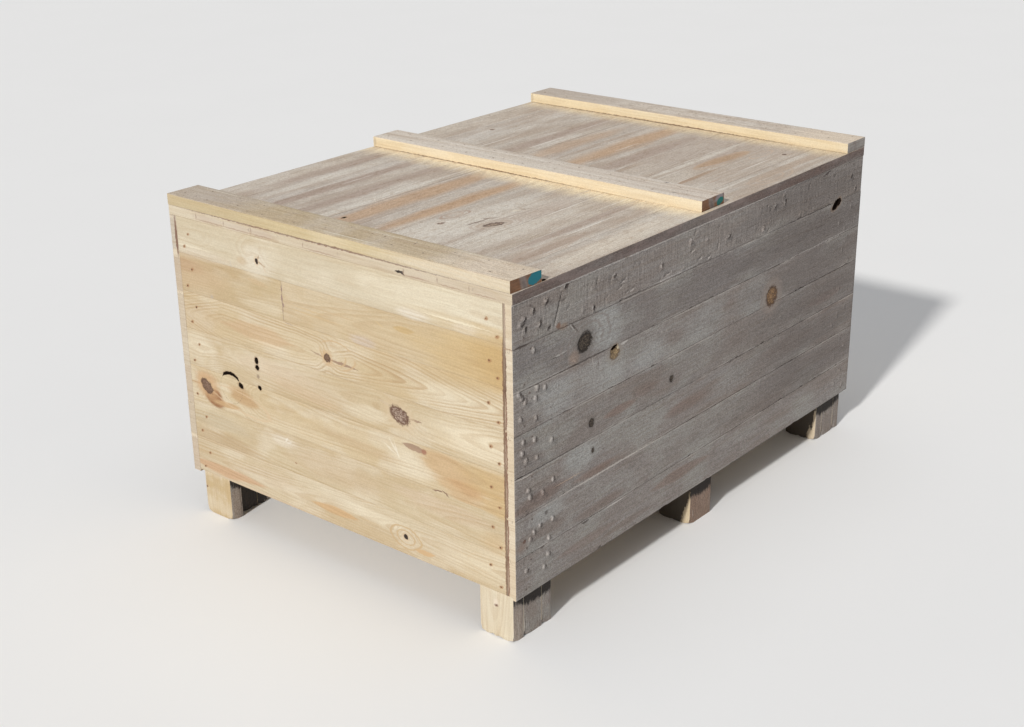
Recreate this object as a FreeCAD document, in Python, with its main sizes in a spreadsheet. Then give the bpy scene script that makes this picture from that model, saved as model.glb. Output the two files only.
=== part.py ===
import FreeCAD, Part
import os

from FreeCAD import Vector

# Shipping crate of tongue-and-groove pine planks: a box on six feet, and a lid that lifts off.
# Frame: origin on the floor under the middle of the crate, +Z up, the short ends face -Y and +Y.
# "front" is the end at -Y, "back" the end at +Y, "left" the side at -X and "right" the side at +X.

doc = FreeCAD.newDocument("shipping_crate")

# ---------------------------------------------------------------------------------------------
# Driving dimensions, in millimetres (the three counts are plain numbers)
# ---------------------------------------------------------------------------------------------
SIZES = {
    # planks of the walls and the lid
    "plank_cover": 90,          # face width that one plank adds
    "plank_thick": 22,
    "tongue_reach": 6,
    "tongue_thick": 6,
    "groove_slack": 0.3,        # clearance round a tongue in its groove
    "wall_rows": 7,
    "lid_planks": 11,
    "crate_length": 1375,
    "end_slack": 3,             # between the end of an end-wall plank and the side wall
    "butt_offset": 139,         # joint in one front plank, left of the middle
    "butt_gap": 0.6,
    # frame inside the walls
    "post_width": 70,
    "post_depth": 70,
    "stiffener_width": 90,
    "stiffener_thick": 25,
    # floor
    "floor_count": 10,
    "floor_width": 90,
    "floor_thick": 22,
    "floor_slack": 0.5,         # between the floor and the walls round it
    "bearer_width": 90,
    "bearer_thick": 22,
    # feet
    "foot_height": 100,
    "foot_width": 88,
    "foot_length": 120,
    "cheek_thick": 31,          # front and back layer of a corner foot
    "core_setback": 15,         # the middle layer is narrower, on the side towards the middle
    "middle_length": 88,        # the middle feet are single blocks
    "front_inset": 2,
    "back_inset": 24,
    "left_inset": 37,
    "right_inset": 8,
    # lid battens
    "batten_width": 88,
    "batten_thick": 25,
    "batten_shift": 10,         # the middle batten lies this far behind the middle
    "batten_short": 10,         # and stops this far short of the right side
    "lid_gap": 0.3,             # between the lid and the top of the walls
    # wire nails
    "shank_width": 3,
    "head_width": 7,
    "head_thick": 1.2,
    "point_length": 4,
    "wall_nail": 50,
    "stiffener_nail": 40,
    "lid_nail": 42,
    "floor_nail": 38,
    "bearer_nail": 70,
    "cheek_nail": 60,
    # where the nails go
    "end_nail_edge": 26,        # from the lower and the upper edge of an end-wall plank
    "side_nail_edge": 14,       # the same on a side wall, so that nails in one post miss each other
    "end_nail_inset": 42,       # from the side of the crate
    "side_nail_inset": 32,      # from the end of the crate
    "nail_stagger": 20,         # the upper nail of a pair stands this much further in
    "batten_nail_edge": 22,     # from the long edges of a batten or a stiffener
    "bearer_nail_edge": 33,     # from the long edges of a bearer
    "board_nail_edge": 24,      # from the long edges of a lid plank or a floor board
    "cheek_nail_drop": 22,      # from the top of a foot
    "bearer_nail_spread": 30,   # between the two nails from a bearer into a foot
}

sheet = doc.addObject("Spreadsheet::Sheet", "Size")
for line, (alias, number) in enumerate(SIZES.items(), start=1):
    sheet.set(f"A{line}", alias)
    sheet.set(f"B{line}", str(number))
    sheet.setAlias(f"B{line}", alias)
doc.recompute()

# ---------------------------------------------------------------------------------------------
# Lines of the crate, as formulas on the sheet
# ---------------------------------------------------------------------------------------------
THICK = "Size.plank_thick"
COVER = "Size.plank_cover"
HALF_WIDTH = "(Size.lid_planks * Size.plank_cover / 2)"
HALF_LENGTH = "(Size.crate_length / 2)"
INNER_X = f"({HALF_WIDTH} - {THICK})"
INNER_Y = f"({HALF_LENGTH} - {THICK})"
WALL_FOOT = "Size.foot_height"
WALL_TOP = f"({WALL_FOOT} + Size.wall_rows * {COVER})"
BEARER_TOP = f"({WALL_FOOT} + Size.bearer_thick)"
FLOOR_TOP = f"({BEARER_TOP} + Size.floor_thick)"
LID_FOOT = f"({WALL_TOP} + Size.lid_gap)"
LID_TOP = f"({LID_FOOT} + {THICK})"
BATTEN_TOP = f"({LID_TOP} + Size.batten_thick)"
BEARER_REACH = f"({INNER_X} - Size.floor_slack)"
BEARER_LINE = f"({INNER_Y} - Size.floor_slack - Size.bearer_width / 2)"
FLOOR_REACH = f"({INNER_Y} - Size.floor_slack)"
FLOOR_PITCH = f"((2 * {BEARER_REACH} - Size.floor_width) / (Size.floor_count - 1))"

EXTENT = {"x": "Length", "y": "Width", "z": "Height"}


def value(formula):
    """What a formula on the sheet comes to, as a plain number."""
    return float(sheet.evalExpression(formula))


def block(name, low, extent):
    """A box from the formulas of its low corner and of its extents along X, Y and Z."""
    box = doc.addObject("Part::Box", name)
    for axis, start, reach in zip("xyz", low, extent):
        box.setExpression(EXTENT[axis], reach)
        box.setExpression("Placement.Base." + axis, start)
    return box


def joined(kind, name, base, tool):
    """A Part::Fuse or Part::Cut of two objects."""
    result = doc.addObject(kind, name)
    result.Base = base
    result.Tool = tool
    return result


def group(name, members):
    """Separate solids that make one node."""
    result = doc.addObject("Part::Compound", name)
    result.Links = members
    return result


# ---------------------------------------------------------------------------------------------
# Planks
# ---------------------------------------------------------------------------------------------
def plank(name, axes, low, length, cover, tongue, groove):
    """A tongue-and-groove plank with its tongue on the low edge.

    axes names the axes that the length, the cover and the thickness lie along, and low is the
    corner of the plank's own body in that order.
    """

    def bar(part, starts, extents):
        place = dict(zip(axes, zip(low, starts, extents)))
        corner = [f"{place[axis][0]} + {place[axis][1]}" for axis in "xyz"]
        return block(f"{name}_{part}", corner, [place[axis][2] for axis in "xyz"])

    slack = "Size.groove_slack"
    result = bar("body", ("0", "0", "0"), (length, cover, THICK))
    if tongue:
        middle = f"({THICK} - Size.tongue_thick) / 2"
        extents = (length, "Size.tongue_reach", "Size.tongue_thick")
        lip = bar("tongue", ("0", "-Size.tongue_reach", middle), extents)
        result = joined("Part::Fuse", f"{name}_tongued", result, lip)
    if groove:
        depth = f"(Size.tongue_reach + {slack})"
        width = f"(Size.tongue_thick + 2 * {slack})"
        middle = f"({THICK} - {width}) / 2"
        slot = bar("groove", ("0", f"{cover} - {depth}", middle), (length, depth, width))
        result = joined("Part::Cut", f"{name}_grooved", result, slot)
    return result


def end_wall(side, low_y):
    """Planks across an end, between the side walls. The lowest keeps its tongue, which rests
    on the feet, so the rows stand a tongue higher and the top plank is trimmed by as much."""
    reach = f"({INNER_X} - Size.end_slack)"
    rows = range(1, round(value("Size.wall_rows")) + 1)
    made = {}
    for row in rows:
        top = row == rows[-1]
        low_z = f"({WALL_FOOT} + Size.tongue_reach + {row - 1} * {COVER})"
        cover = f"({COVER} - Size.tongue_reach)" if top else COVER
        name = f"{side}_plank_{row}"
        corner = (f"(-{reach})", low_z, low_y)
        made[name] = plank(name, "xzy", corner, f"(2 * {reach})", cover, True, not top)
    return made


def side_wall(side, low_x):
    """Planks along a side, over the full length, so that they cap the end walls."""
    rows = range(1, round(value("Size.wall_rows")) + 1)
    made = {}
    for row in rows:
        low_z = f"({WALL_FOOT} + {row - 1} * {COVER})"
        name = f"{side}_plank_{row}"
        corner = (f"(-{HALF_LENGTH})", low_z, low_x)
        edges = (row > 1, row < rows[-1])
        made[name] = plank(name, "yzx", corner, "Size.crate_length", COVER, *edges)
    return made


def lid_planks():
    """Planks of the lid, along the crate, with plain outer edges."""
    count = round(value("Size.lid_planks"))
    made = {}
    for place in range(1, count + 1):
        low_x = f"({place - 1} * {COVER} - {HALF_WIDTH})"
        name = f"lid_plank_{place}"
        corner = (f"(-{HALF_LENGTH})", low_x, LID_FOOT)
        edges = (place > 1, place < count)
        made[name] = plank(name, "yxz", corner, "Size.crate_length", COVER, *edges)
    return made


def butted(name, blank):
    """The same plank in two lengths that meet end to end."""
    low = ("-Size.butt_offset - Size.butt_gap / 2", "-Size.crate_length", "0")
    extent = ("Size.butt_gap", "2 * Size.crate_length", BATTEN_TOP)
    return joined("Part::Cut", f"{name}_butted", blank, block(f"{name}_butt", low, extent))


# ---------------------------------------------------------------------------------------------
# Battens, posts and stiffeners
# ---------------------------------------------------------------------------------------------
BATTEN_Y = {
    "front": f"(-{HALF_LENGTH})",
    "middle": "(Size.batten_shift - Size.batten_width / 2)",
    "back": f"({HALF_LENGTH} - Size.batten_width)",
}


def lid_battens():
    """Three battens across the lid. The outer two are flush with the ends of the crate."""
    made = {}
    for place, low_y in BATTEN_Y.items():
        name = f"lid_batten_{place}"
        length = f"(2 * {HALF_WIDTH})"
        if place == "middle":
            length = f"({length} - Size.batten_short)"
        corner = (f"-{HALF_WIDTH}", low_y, LID_TOP)
        made[name] = block(name + "_bar", corner, (length, "Size.batten_width", "Size.batten_thick"))
    return made


def corner_posts():
    """Square posts on the floor, in the four corners."""
    sides_x = {"left": f"-{INNER_X}", "right": f"{INNER_X} - Size.post_width"}
    sides_y = {"front": f"-{INNER_Y}", "back": f"{INNER_Y} - Size.post_depth"}
    extent = ("Size.post_width", "Size.post_depth", f"{WALL_TOP} - {FLOOR_TOP}")
    made = {}
    for end, low_y in sides_y.items():
        for side, low_x in sides_x.items():
            name = f"corner_post_{end}_{side}"
            made[name] = block(name + "_bar", (low_x, low_y, FLOOR_TOP), extent)
    return made


def stiffeners():
    """An upright batten in the middle of each side wall, on the floor."""
    sides = {"left": f"-{INNER_X}", "right": f"{INNER_X} - Size.stiffener_thick"}
    extent = ("Size.stiffener_thick", "Size.stiffener_width", f"{WALL_TOP} - {FLOOR_TOP}")
    made = {}
    for side, low_x in sides.items():
        name = f"stiffener_{side}"
        made[name] = block(name + "_bar", (low_x, "-Size.stiffener_width / 2", FLOOR_TOP), extent)
    return made


# ---------------------------------------------------------------------------------------------
# Floor and feet
# ---------------------------------------------------------------------------------------------
BEARER_Y = {"front": f"(-{BEARER_LINE})", "middle": "0", "back": BEARER_LINE}


def floor():
    """Bearers across the crate over the rows of feet, and boards along it on the bearers."""
    bearers = []
    for place, line in BEARER_Y.items():
        corner = (f"-{BEARER_REACH}", f"{line} - Size.bearer_width / 2", WALL_FOOT)
        extent = (f"2 * {BEARER_REACH}", "Size.bearer_width", "Size.bearer_thick")
        bearers.append(block(f"bearer_{place}", corner, extent))
    boards = []
    for place in range(round(value("Size.floor_count"))):
        corner = (f"{place} * {FLOOR_PITCH} - {BEARER_REACH}", f"-{FLOOR_REACH}", BEARER_TOP)
        extent = ("Size.floor_width", f"2 * {FLOOR_REACH}", "Size.floor_thick")
        boards.append(block(f"floor_board_{place + 1}", corner, extent))
    return {
        "floor_bearers": group("floor_bearers_set", bearers),
        "floor_boards": group("floor_boards_set", boards),
    }


FOOT_X = {
    "left": f"(Size.left_inset - {HALF_WIDTH})",
    "right": f"({HALF_WIDTH} - Size.right_inset - Size.foot_width)",
}
FOOT_Y = {
    "front": f"(Size.front_inset - {HALF_LENGTH})",
    "middle": "(-Size.middle_length / 2)",
    "back": f"({HALF_LENGTH} - Size.back_inset - Size.foot_length)",
}


def corner_foot(name, low_x, low_y, side):
    """Three upright layers, nailed together face to face."""
    core_x = low_x if side == "left" else f"{low_x} + Size.core_setback"
    core_length = "(Size.foot_length - 2 * Size.cheek_thick)"
    cheek = ("Size.foot_width", "Size.cheek_thick", "Size.foot_height")
    core = ("Size.foot_width - Size.core_setback", core_length, "Size.foot_height")
    back_y = f"{low_y} + Size.foot_length - Size.cheek_thick"
    return group(name + "_set", [
        block(name + "_front_cheek", (low_x, low_y, "0"), cheek),
        block(name + "_core", (core_x, f"{low_y} + Size.cheek_thick", "0"), core),
        block(name + "_back_cheek", (low_x, back_y, "0"), cheek),
    ])


def feet():
    made = {}
    for end, low_y in FOOT_Y.items():
        for side, low_x in FOOT_X.items():
            name = f"foot_{end}_{side}"
            if end == "middle":
                extent = ("Size.foot_width", "Size.middle_length", "Size.foot_height")
                made[name] = block(name + "_block", (low_x, low_y, "0"), extent)
            else:
                made[name] = corner_foot(name, low_x, low_y, side)
    return made


# ---------------------------------------------------------------------------------------------
# Nails
# ---------------------------------------------------------------------------------------------
def nail(head, direction, length_name):
    """A pointed wire nail with its flat head flush at a point, driven in along a direction."""
    head_radius = value("Size.head_width / 2")
    shank_radius = value("Size.shank_width / 2")
    head_end = value("Size.head_thick")
    tip = value(f"Size.{length_name}")
    taper = tip - value("Size.point_length")
    outline = [(0, 0), (head_radius, 0), (head_radius, head_end), (shank_radius, head_end),
               (shank_radius, taper), (0, tip), (0, 0)]
    face = Part.Face(Part.makePolygon([Vector(radius, 0, depth) for radius, depth in outline]))
    solid = face.revolve(Vector(), Vector(0, 0, 1), 360)
    turn = FreeCAD.Rotation(Vector(0, 0, 1), direction)
    solid.Placement = FreeCAD.Placement(head, turn)
    return solid


def wall_nails():
    """Two nails through each end of each wall plank into a corner post, and two from each
    stiffener into each side plank."""
    half_width = value(HALF_WIDTH)
    half_length = value(HALF_LENGTH)
    stagger = value("Size.nail_stagger")
    spread = value("Size.stiffener_width / 2 - Size.batten_nail_edge")
    inner_x = value(f"{INNER_X} - Size.stiffener_thick")
    made = []
    for row in range(round(value("Size.wall_rows"))):
        end_z = value(f"{WALL_FOOT} + Size.tongue_reach + {row} * {COVER}")
        side_z = value(f"{WALL_FOOT} + {row} * {COVER}")
        top_row = row == round(value("Size.wall_rows")) - 1
        trim = value("Size.tongue_reach") if top_row else 0
        end_low = end_z + value("Size.end_nail_edge")
        end_high = end_z + value(f"{COVER} - Size.end_nail_edge") - trim
        side_low = side_z + value("Size.side_nail_edge")
        side_high = side_z + value(f"{COVER} - Size.side_nail_edge")
        for way_x in (-1, 1):
            for way_y in (-1, 1):
                for height, step in ((end_low, 0), (end_high, stagger)):
                    x = way_x * (half_width - value("Size.end_nail_inset") - step)
                    head = Vector(x, way_y * half_length, height)
                    made.append(nail(head, Vector(0, -way_y, 0), "wall_nail"))
                for height, step in ((side_low, 0), (side_high, stagger)):
                    y = way_y * (half_length - value("Size.side_nail_inset") - step)
                    head = Vector(way_x * half_width, y, height)
                    made.append(nail(head, Vector(-way_x, 0, 0), "wall_nail"))
            for height, y in ((side_low, -spread), (side_high, spread)):
                if height > value(FLOOR_TOP):
                    head = Vector(way_x * inner_x, y, height)
                    made.append(nail(head, Vector(way_x, 0, 0), "stiffener_nail"))
    return made


def lid_nails():
    """Two nails from each batten into each lid plank."""
    batten_edge = value("Size.batten_nail_edge")
    board_edge = value("Size.board_nail_edge")
    made = []
    for low_y in BATTEN_Y.values():
        front = value(low_y) + batten_edge
        back = value(f"{low_y} + Size.batten_width") - batten_edge
        for place in range(round(value("Size.lid_planks"))):
            low_x = value(f"{place} * {COVER} - {HALF_WIDTH}")
            left = low_x + board_edge
            right = low_x + value(COVER) - board_edge
            for x, y in ((left, front), (right, back)):
                made.append(nail(Vector(x, y, value(BATTEN_TOP)), Vector(0, 0, -1), "lid_nail"))
    return made


def floor_nails():
    """Nails from the floor boards into the bearers, from the bearers into the feet, and from
    the cheeks of each corner foot into its core."""
    down = Vector(0, 0, -1)
    reach = value("Size.bearer_width / 2 - Size.bearer_nail_edge")
    made = []
    for line in BEARER_Y.values():
        for place in range(round(value("Size.floor_count"))):
            low_x = value(f"{place} * {FLOOR_PITCH} - {BEARER_REACH}")
            left = low_x + value("Size.board_nail_edge")
            right = low_x + value("Size.floor_width - Size.board_nail_edge")
            for x, y in ((left, value(line) - reach), (right, value(line) + reach)):
                made.append(nail(Vector(x, y, value(FLOOR_TOP)), down, "floor_nail"))
    for end, low_y in FOOT_Y.items():
        for side, low_x in FOOT_X.items():
            setback = "Size.core_setback" if side == "right" else "-Size.core_setback"
            core_x = value(f"{low_x} + (Size.foot_width + {setback}) / 2")
            for way in (-1, 1):
                x = core_x + way * value("Size.bearer_nail_spread / 2")
                y = value(BEARER_Y[end])
                made.append(nail(Vector(x, y, value(BEARER_TOP)), down, "bearer_nail"))
            if end != "middle":
                height = value("Size.foot_height - Size.cheek_nail_drop")
                near = value(low_y)
                far = near + value("Size.foot_length")
                made.append(nail(Vector(core_x, near, height), Vector(0, 1, 0), "cheek_nail"))
                made.append(nail(Vector(core_x, far, height), Vector(0, -1, 0), "cheek_nail"))
    return made


# ---------------------------------------------------------------------------------------------
# Assembly: every piece is drilled by the nails that pass through it
# ---------------------------------------------------------------------------------------------
blanks = {}
blanks.update(end_wall("front", f"(-{HALF_LENGTH})"))
blanks.update(end_wall("back", INNER_Y))
blanks.update(side_wall("left", f"(-{HALF_WIDTH})"))
blanks.update(side_wall("right", INNER_X))
blanks.update(lid_planks())
blanks.update(lid_battens())
blanks.update(corner_posts())
blanks.update(stiffeners())
blanks.update(floor())
blanks.update(feet())

joint_plank = f"front_plank_{round(value('Size.wall_rows')) - 1}"
blanks[joint_plank] = butted(joint_plank, blanks[joint_plank])
doc.recompute()

nails = {"wall_nails": wall_nails(), "lid_nails": lid_nails(), "floor_nails": floor_nails()}
nodes = {}
for label, solids in nails.items():
    nodes[label] = doc.addObject("Part::Feature", label)
    nodes[label].Shape = Part.makeCompound(solids)
    nodes[label].Placement = FreeCAD.Placement()

every_nail = [solid for solids in nails.values() for solid in solids]
for label, blank in blanks.items():
    room = blank.Shape.BoundBox
    through = [solid for solid in every_nail if room.intersect(solid.BoundBox)]
    drill = doc.addObject("Part::Feature", f"{label}_drill")
    drill.Shape = Part.makeCompound(through)
    drill.Placement = FreeCAD.Placement()
    nodes[label] = joined("Part::Cut", label, blank, drill)

for label, node in nodes.items():
    node.Label = label
doc.recompute()

# ---------------------------------------------------------------------------------------------
# Checks and export
# ---------------------------------------------------------------------------------------------
for item in doc.Objects:
    if "Invalid" in item.State or "Error" in item.State:
        raise RuntimeError(f"{item.Label} failed: {item.State}")
for label, node in nodes.items():
    if node.Shape.isNull() or not node.Shape.isValid():
        raise RuntimeError(f"{label} has no valid shape")

os.makedirs("parts", exist_ok=True)
for node in nodes.values():
    node.Shape.exportStep(f"parts/{node.Label}.step")
print(f"{len(nodes)} nodes, {sum(len(node.Shape.Solids) for node in nodes.values())} solids")
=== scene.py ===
# %% [markdown]
# # A pine shipping crate with a lift-off lid
#
# The real crate is nailed together from sawn pine: tongue-and-groove planks round four corner
# posts, a loose lid stiffened by three battens, and six block feet that let a fork underneath.
# The CAD model already fixes every size, so this lesson only dresses it: each board is modelled
# again with its machined edges, dents and wear, and each gets its own piece of tree as a finish.

import math
import random
from collections import namedtuple

import bmesh
import bpy
from mathutils import Matrix, Vector


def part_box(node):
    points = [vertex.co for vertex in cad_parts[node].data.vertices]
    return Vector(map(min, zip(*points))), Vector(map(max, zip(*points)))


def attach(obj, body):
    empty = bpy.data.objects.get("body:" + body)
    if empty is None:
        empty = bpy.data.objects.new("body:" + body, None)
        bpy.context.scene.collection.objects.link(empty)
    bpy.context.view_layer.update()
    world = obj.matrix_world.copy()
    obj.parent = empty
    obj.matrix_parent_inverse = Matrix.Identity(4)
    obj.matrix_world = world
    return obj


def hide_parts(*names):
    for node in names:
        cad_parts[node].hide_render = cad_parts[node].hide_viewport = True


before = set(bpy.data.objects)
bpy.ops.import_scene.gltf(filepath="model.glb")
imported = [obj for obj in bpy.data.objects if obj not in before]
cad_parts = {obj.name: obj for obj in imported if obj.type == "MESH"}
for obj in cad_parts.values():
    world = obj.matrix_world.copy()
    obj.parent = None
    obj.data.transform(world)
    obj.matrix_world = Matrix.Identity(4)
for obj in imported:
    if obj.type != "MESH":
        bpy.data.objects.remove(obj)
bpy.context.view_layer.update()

# %% [markdown]
# ## How a board lies
#
# A board has a length, a width (its cover) and a thickness, and one face that the world sees.
# Writing down which axis is which, once per kind of board, lets one helper serve walls, lid and
# battens. The alternative, a helper for each wall, would say the same thing five times.

# %% Name the lie of every kind of board
Lie = namedtuple("Lie", "along across through face")
END_FRONT = Lie(along=0, across=2, through=1, face=-1)
END_BACK = Lie(along=0, across=2, through=1, face=1)
SIDE_LEFT = Lie(along=1, across=2, through=0, face=-1)
SIDE_RIGHT = Lie(along=1, across=2, through=0, face=1)
LID = Lie(along=1, across=0, through=2, face=1)
BATTEN = Lie(along=0, across=1, through=2, face=1)
FLOOR = Lie(along=1, across=0, through=2, face=1)
print("Board lies:", END_FRONT, SIDE_RIGHT, LID)


def towards(axis, distance):
    """A step of that distance along one axis."""
    step = Vector((0.0, 0.0, 0.0))
    step[axis] = distance
    return step


# %% [markdown]
# ## Sawing a block
#
# Every board starts as the plain block that comes off the saw. A cube primitive with its size
# and place applied keeps the object itself at the origin, which the finishes rely on.

# %% Saw a block to size
def sawn_block(name, low, high):
    """A block of wood between two corners, with its size and place in the mesh."""
    bpy.ops.object.select_all(action="DESELECT")
    low, high = Vector(low), Vector(high)
    bpy.ops.mesh.primitive_cube_add(size=1, location=(low + high) / 2, scale=high - low)
    bpy.ops.object.transform_apply(location=True, rotation=True, scale=True)
    piece = bpy.context.object
    piece.name = piece.data.name = name
    return piece


def edit(piece):
    """Open one piece in edit mode."""
    bpy.context.view_layer.objects.active = piece
    bpy.ops.object.mode_set(mode="EDIT")


def close():
    """Leave edit mode."""
    bpy.ops.object.mode_set(mode="OBJECT")


def pick(kind, test):
    """In edit mode, select only the vertices, edges or faces that pass a test."""
    mesh = bpy.context.object.data
    bpy.ops.mesh.select_mode(type=kind)
    bpy.ops.mesh.select_all(action="DESELECT")
    work = bmesh.from_edit_mesh(mesh)
    chosen = [
        part for part in {"VERT": work.verts, "EDGE": work.edges, "FACE": work.faces}[kind] if test(part)]
    for part in chosen:
        part.select_set(True)
    work.select_flush_mode()
    bmesh.update_edit_mesh(mesh)
    return len(chosen)


def runs_along(edge, axis, longer_than):
    """True for an edge that runs along that axis and is longer than the given length."""
    step = edge.verts[1].co - edge.verts[0].co
    return abs(step[axis]) > longer_than and abs(step[axis]) > 0.99 * step.length


# %% [markdown]
# ## Working the edges
#
# The planks lock together by a 6 mm tongue on the low edge and a groove on the high edge. For
# the tongue a bisect scores two lines and an extrude pulls the strip between them out. The
# groove runs out through both ends of the plank, so it is cut as a spindle moulder cuts it: a
# bar is taken away with a Boolean modifier. Pushing a face in would leave skins over its ends.

# %% Machine a tongue and a groove
TONGUE = 0.006
SIDE_PLAY, DEPTH_PLAY = 0.0001, 0.0004
OVERCUT = 0.01


def cut_away(piece, low, high):
    """Take the block between two corners out of a piece."""
    cutter = sawn_block("cutter", low, high)
    bpy.context.view_layer.objects.active = piece
    bite = piece.modifiers.new("bite", "BOOLEAN")
    bite.operation, bite.object, bite.solver = "DIFFERENCE", cutter, "EXACT"
    bpy.ops.object.modifier_apply(modifier=bite.name)
    bpy.data.objects.remove(cutter)


def machine_edges(piece, low, high, lie, tongue, groove):
    """Cut the groove along the high edge and draw the tongue out of the low one."""
    middle = (low[lie.through] + high[lie.through]) / 2

    def on_low_edge(face):
        place = face.calc_center_median()[lie.across]
        return face.normal[lie.across] < -0.9 and place < low[lie.across] + 1e-4

    if groove:
        start, stop = low.copy(), high.copy()
        start[lie.along] -= OVERCUT
        stop[lie.along] += OVERCUT
        start[lie.across] = high[lie.across] - TONGUE - DEPTH_PLAY
        stop[lie.across] += OVERCUT
        start[lie.through] = middle - TONGUE / 2 - SIDE_PLAY
        stop[lie.through] = middle + TONGUE / 2 + SIDE_PLAY
        cut_away(piece, start, stop)
    edit(piece)
    if tongue:
        for side in (-1, 1):
            pick("FACE", on_low_edge)
            line = towards(lie.through, middle + side * TONGUE / 2)
            bpy.ops.mesh.bisect(plane_co=line, plane_no=towards(lie.through, 1))
        pick("FACE", lambda f: on_low_edge(f) and abs(f.calc_center_median()[lie.through] - middle) < 0.001)
        bpy.ops.mesh.extrude_region_move(TRANSFORM_OT_translate={"value": towards(lie.across, -TONGUE)})
    close()


def reach_of(piece, axis):
    """The lowest and highest place of a piece along an axis."""
    places = [corner[axis] for corner in piece.bound_box]
    return min(places), max(places)


def face_plane(piece, lie):
    """Where the seen face lies, through the board."""
    return reach_of(piece, lie.through)[lie.face > 0]


def ease_edges(piece, lie, width, both_faces=False):
    """Round the arrises of the seen face, and of the hidden one when asked."""
    planes = reach_of(piece, lie.through) if both_faces else [face_plane(piece, lie)]
    edit(piece)
    pick("EDGE", lambda e: e.calc_face_angle(0) > 1 and any(
        all(abs(v.co[lie.through] - plane) < 1e-5 for v in e.verts) for plane in planes))
    bpy.ops.mesh.bevel(offset=width, segments=2, profile=0.6, affect="EDGES")
    close()


def slice_up(piece, axis, pitch, where=lambda edge: True):
    """Cross-cut the faces along an axis until no chosen edge is longer than the pitch."""
    edit(piece)
    for _ in range(3):
        work = bmesh.from_edit_mesh(piece.data)
        lengths = [e.calc_length() for e in work.edges if runs_along(e, axis, pitch * 1.2) and where(e)]
        if not lengths:
            break
        cuts = min(round(max(lengths) / pitch) - 1, 60)
        pick("EDGE", lambda e: runs_along(e, axis, max(lengths) * 0.4) and where(e))
        bpy.ops.mesh.subdivide(number_cuts=max(cuts, 1))
    close()


print("Edge tools ready; the tongue reaches", TONGUE, "m")

# %% [markdown]
# ## Making the boards look handled
#
# Sawn pine is never quite flat. A Displace modifier with a cloud texture gives a board its slow
# ripple, and dents are pressed in where they are by moving a few points with proportional
# editing, which pulls the fibres round each dent down with it. A bump map alone would leave the
# outline of the board perfectly straight.

# %% Ripple a board and press dents into it
Dent = namedtuple("Dent", "a c la lc depth tilt reach", defaults=(0.0, 0.0045))


def ripple(piece, lie, depth, size, name):
    """A slow unevenness through the thickness of the board."""
    cloud = bpy.data.textures.get(name) or bpy.data.textures.new(name, type="CLOUDS")
    cloud.noise_scale = size
    bpy.context.view_layer.objects.active = piece
    wave = piece.modifiers.new("ripple", "DISPLACE")
    wave.texture, wave.strength, wave.mid_level = cloud, depth, 0.5
    wave.direction = "XYZ"[lie.through]
    wave.texture_coords = "LOCAL"
    bpy.ops.object.modifier_apply(modifier=wave.name)


def inside(co, lie, spot, margin=0.0):
    """True inside the tilted oval of a dent or lump."""
    along, across = co[lie.along] - spot.a, co[lie.across] - spot.c
    if max(abs(along), abs(across)) > spot.la + spot.lc + margin:
        return False
    cos, sin = math.cos(spot.tilt), math.sin(spot.tilt)
    return (((along * cos + across * sin) / (spot.la + margin)) ** 2
            + ((across * cos - along * sin) / (spot.lc + margin)) ** 2) < 1


def press(piece, lie, dents, cuts=3):
    """Push the seen face in at each dent, or out where its depth is negative."""
    if not dents:
        return
    plane = face_plane(piece, lie)
    edit(piece)
    pick("FACE", lambda f: abs(f.calc_center_median()[lie.through] - plane) < 0.002 and any(
        inside(f.calc_center_median(), lie, d, 0.0055) for d in dents))
    bpy.ops.mesh.subdivide(number_cuts=cuts)
    for depth, reach in sorted({(d.depth, d.reach) for d in dents}):
        group = [d for d in dents if (d.depth, d.reach) == (depth, reach)]
        if pick("VERT", lambda v: abs(v.co[lie.through] - plane) < 0.004
                and any(inside(v.co, lie, d) for d in group)):
            bpy.ops.transform.translate(
                value=towards(lie.through, -lie.face * depth), use_proportional_edit=True,
                proportional_edit_falloff="SHARP", proportional_size=reach)
    close()


def smooth(piece):
    """Smooth shading that keeps the sawn corners crisp."""
    bpy.ops.object.select_all(action="DESELECT")
    piece.select_set(True)
    bpy.context.view_layer.objects.active = piece
    bpy.ops.object.shade_smooth_by_angle(angle=math.radians(28))


def joined(name, pieces):
    """Several blocks nailed up as one piece."""
    bpy.ops.object.select_all(action="DESELECT")
    for piece in pieces:
        piece.select_set(True)
    bpy.context.view_layer.objects.active = pieces[0]
    if len(pieces) > 1:
        bpy.ops.object.join()
    pieces[0].name = pieces[0].data.name = name
    return pieces[0]


print("Dents are pressed by proportional editing, with a reach of", Dent(0, 0, 0, 0, 0).reach, "m")

# %% [markdown]
# ## A tree inside every board
#
# Pine shows the rings of its trunk. The finish works out how far a point lies from the heart of
# the log, lets that distance wander and taper, and draws a thin tan line where each year ended.
# Because it is worked out in space, the same rings run over the face, the edges and the end
# grain. A flat stripe pattern would not turn the corner like this.

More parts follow.
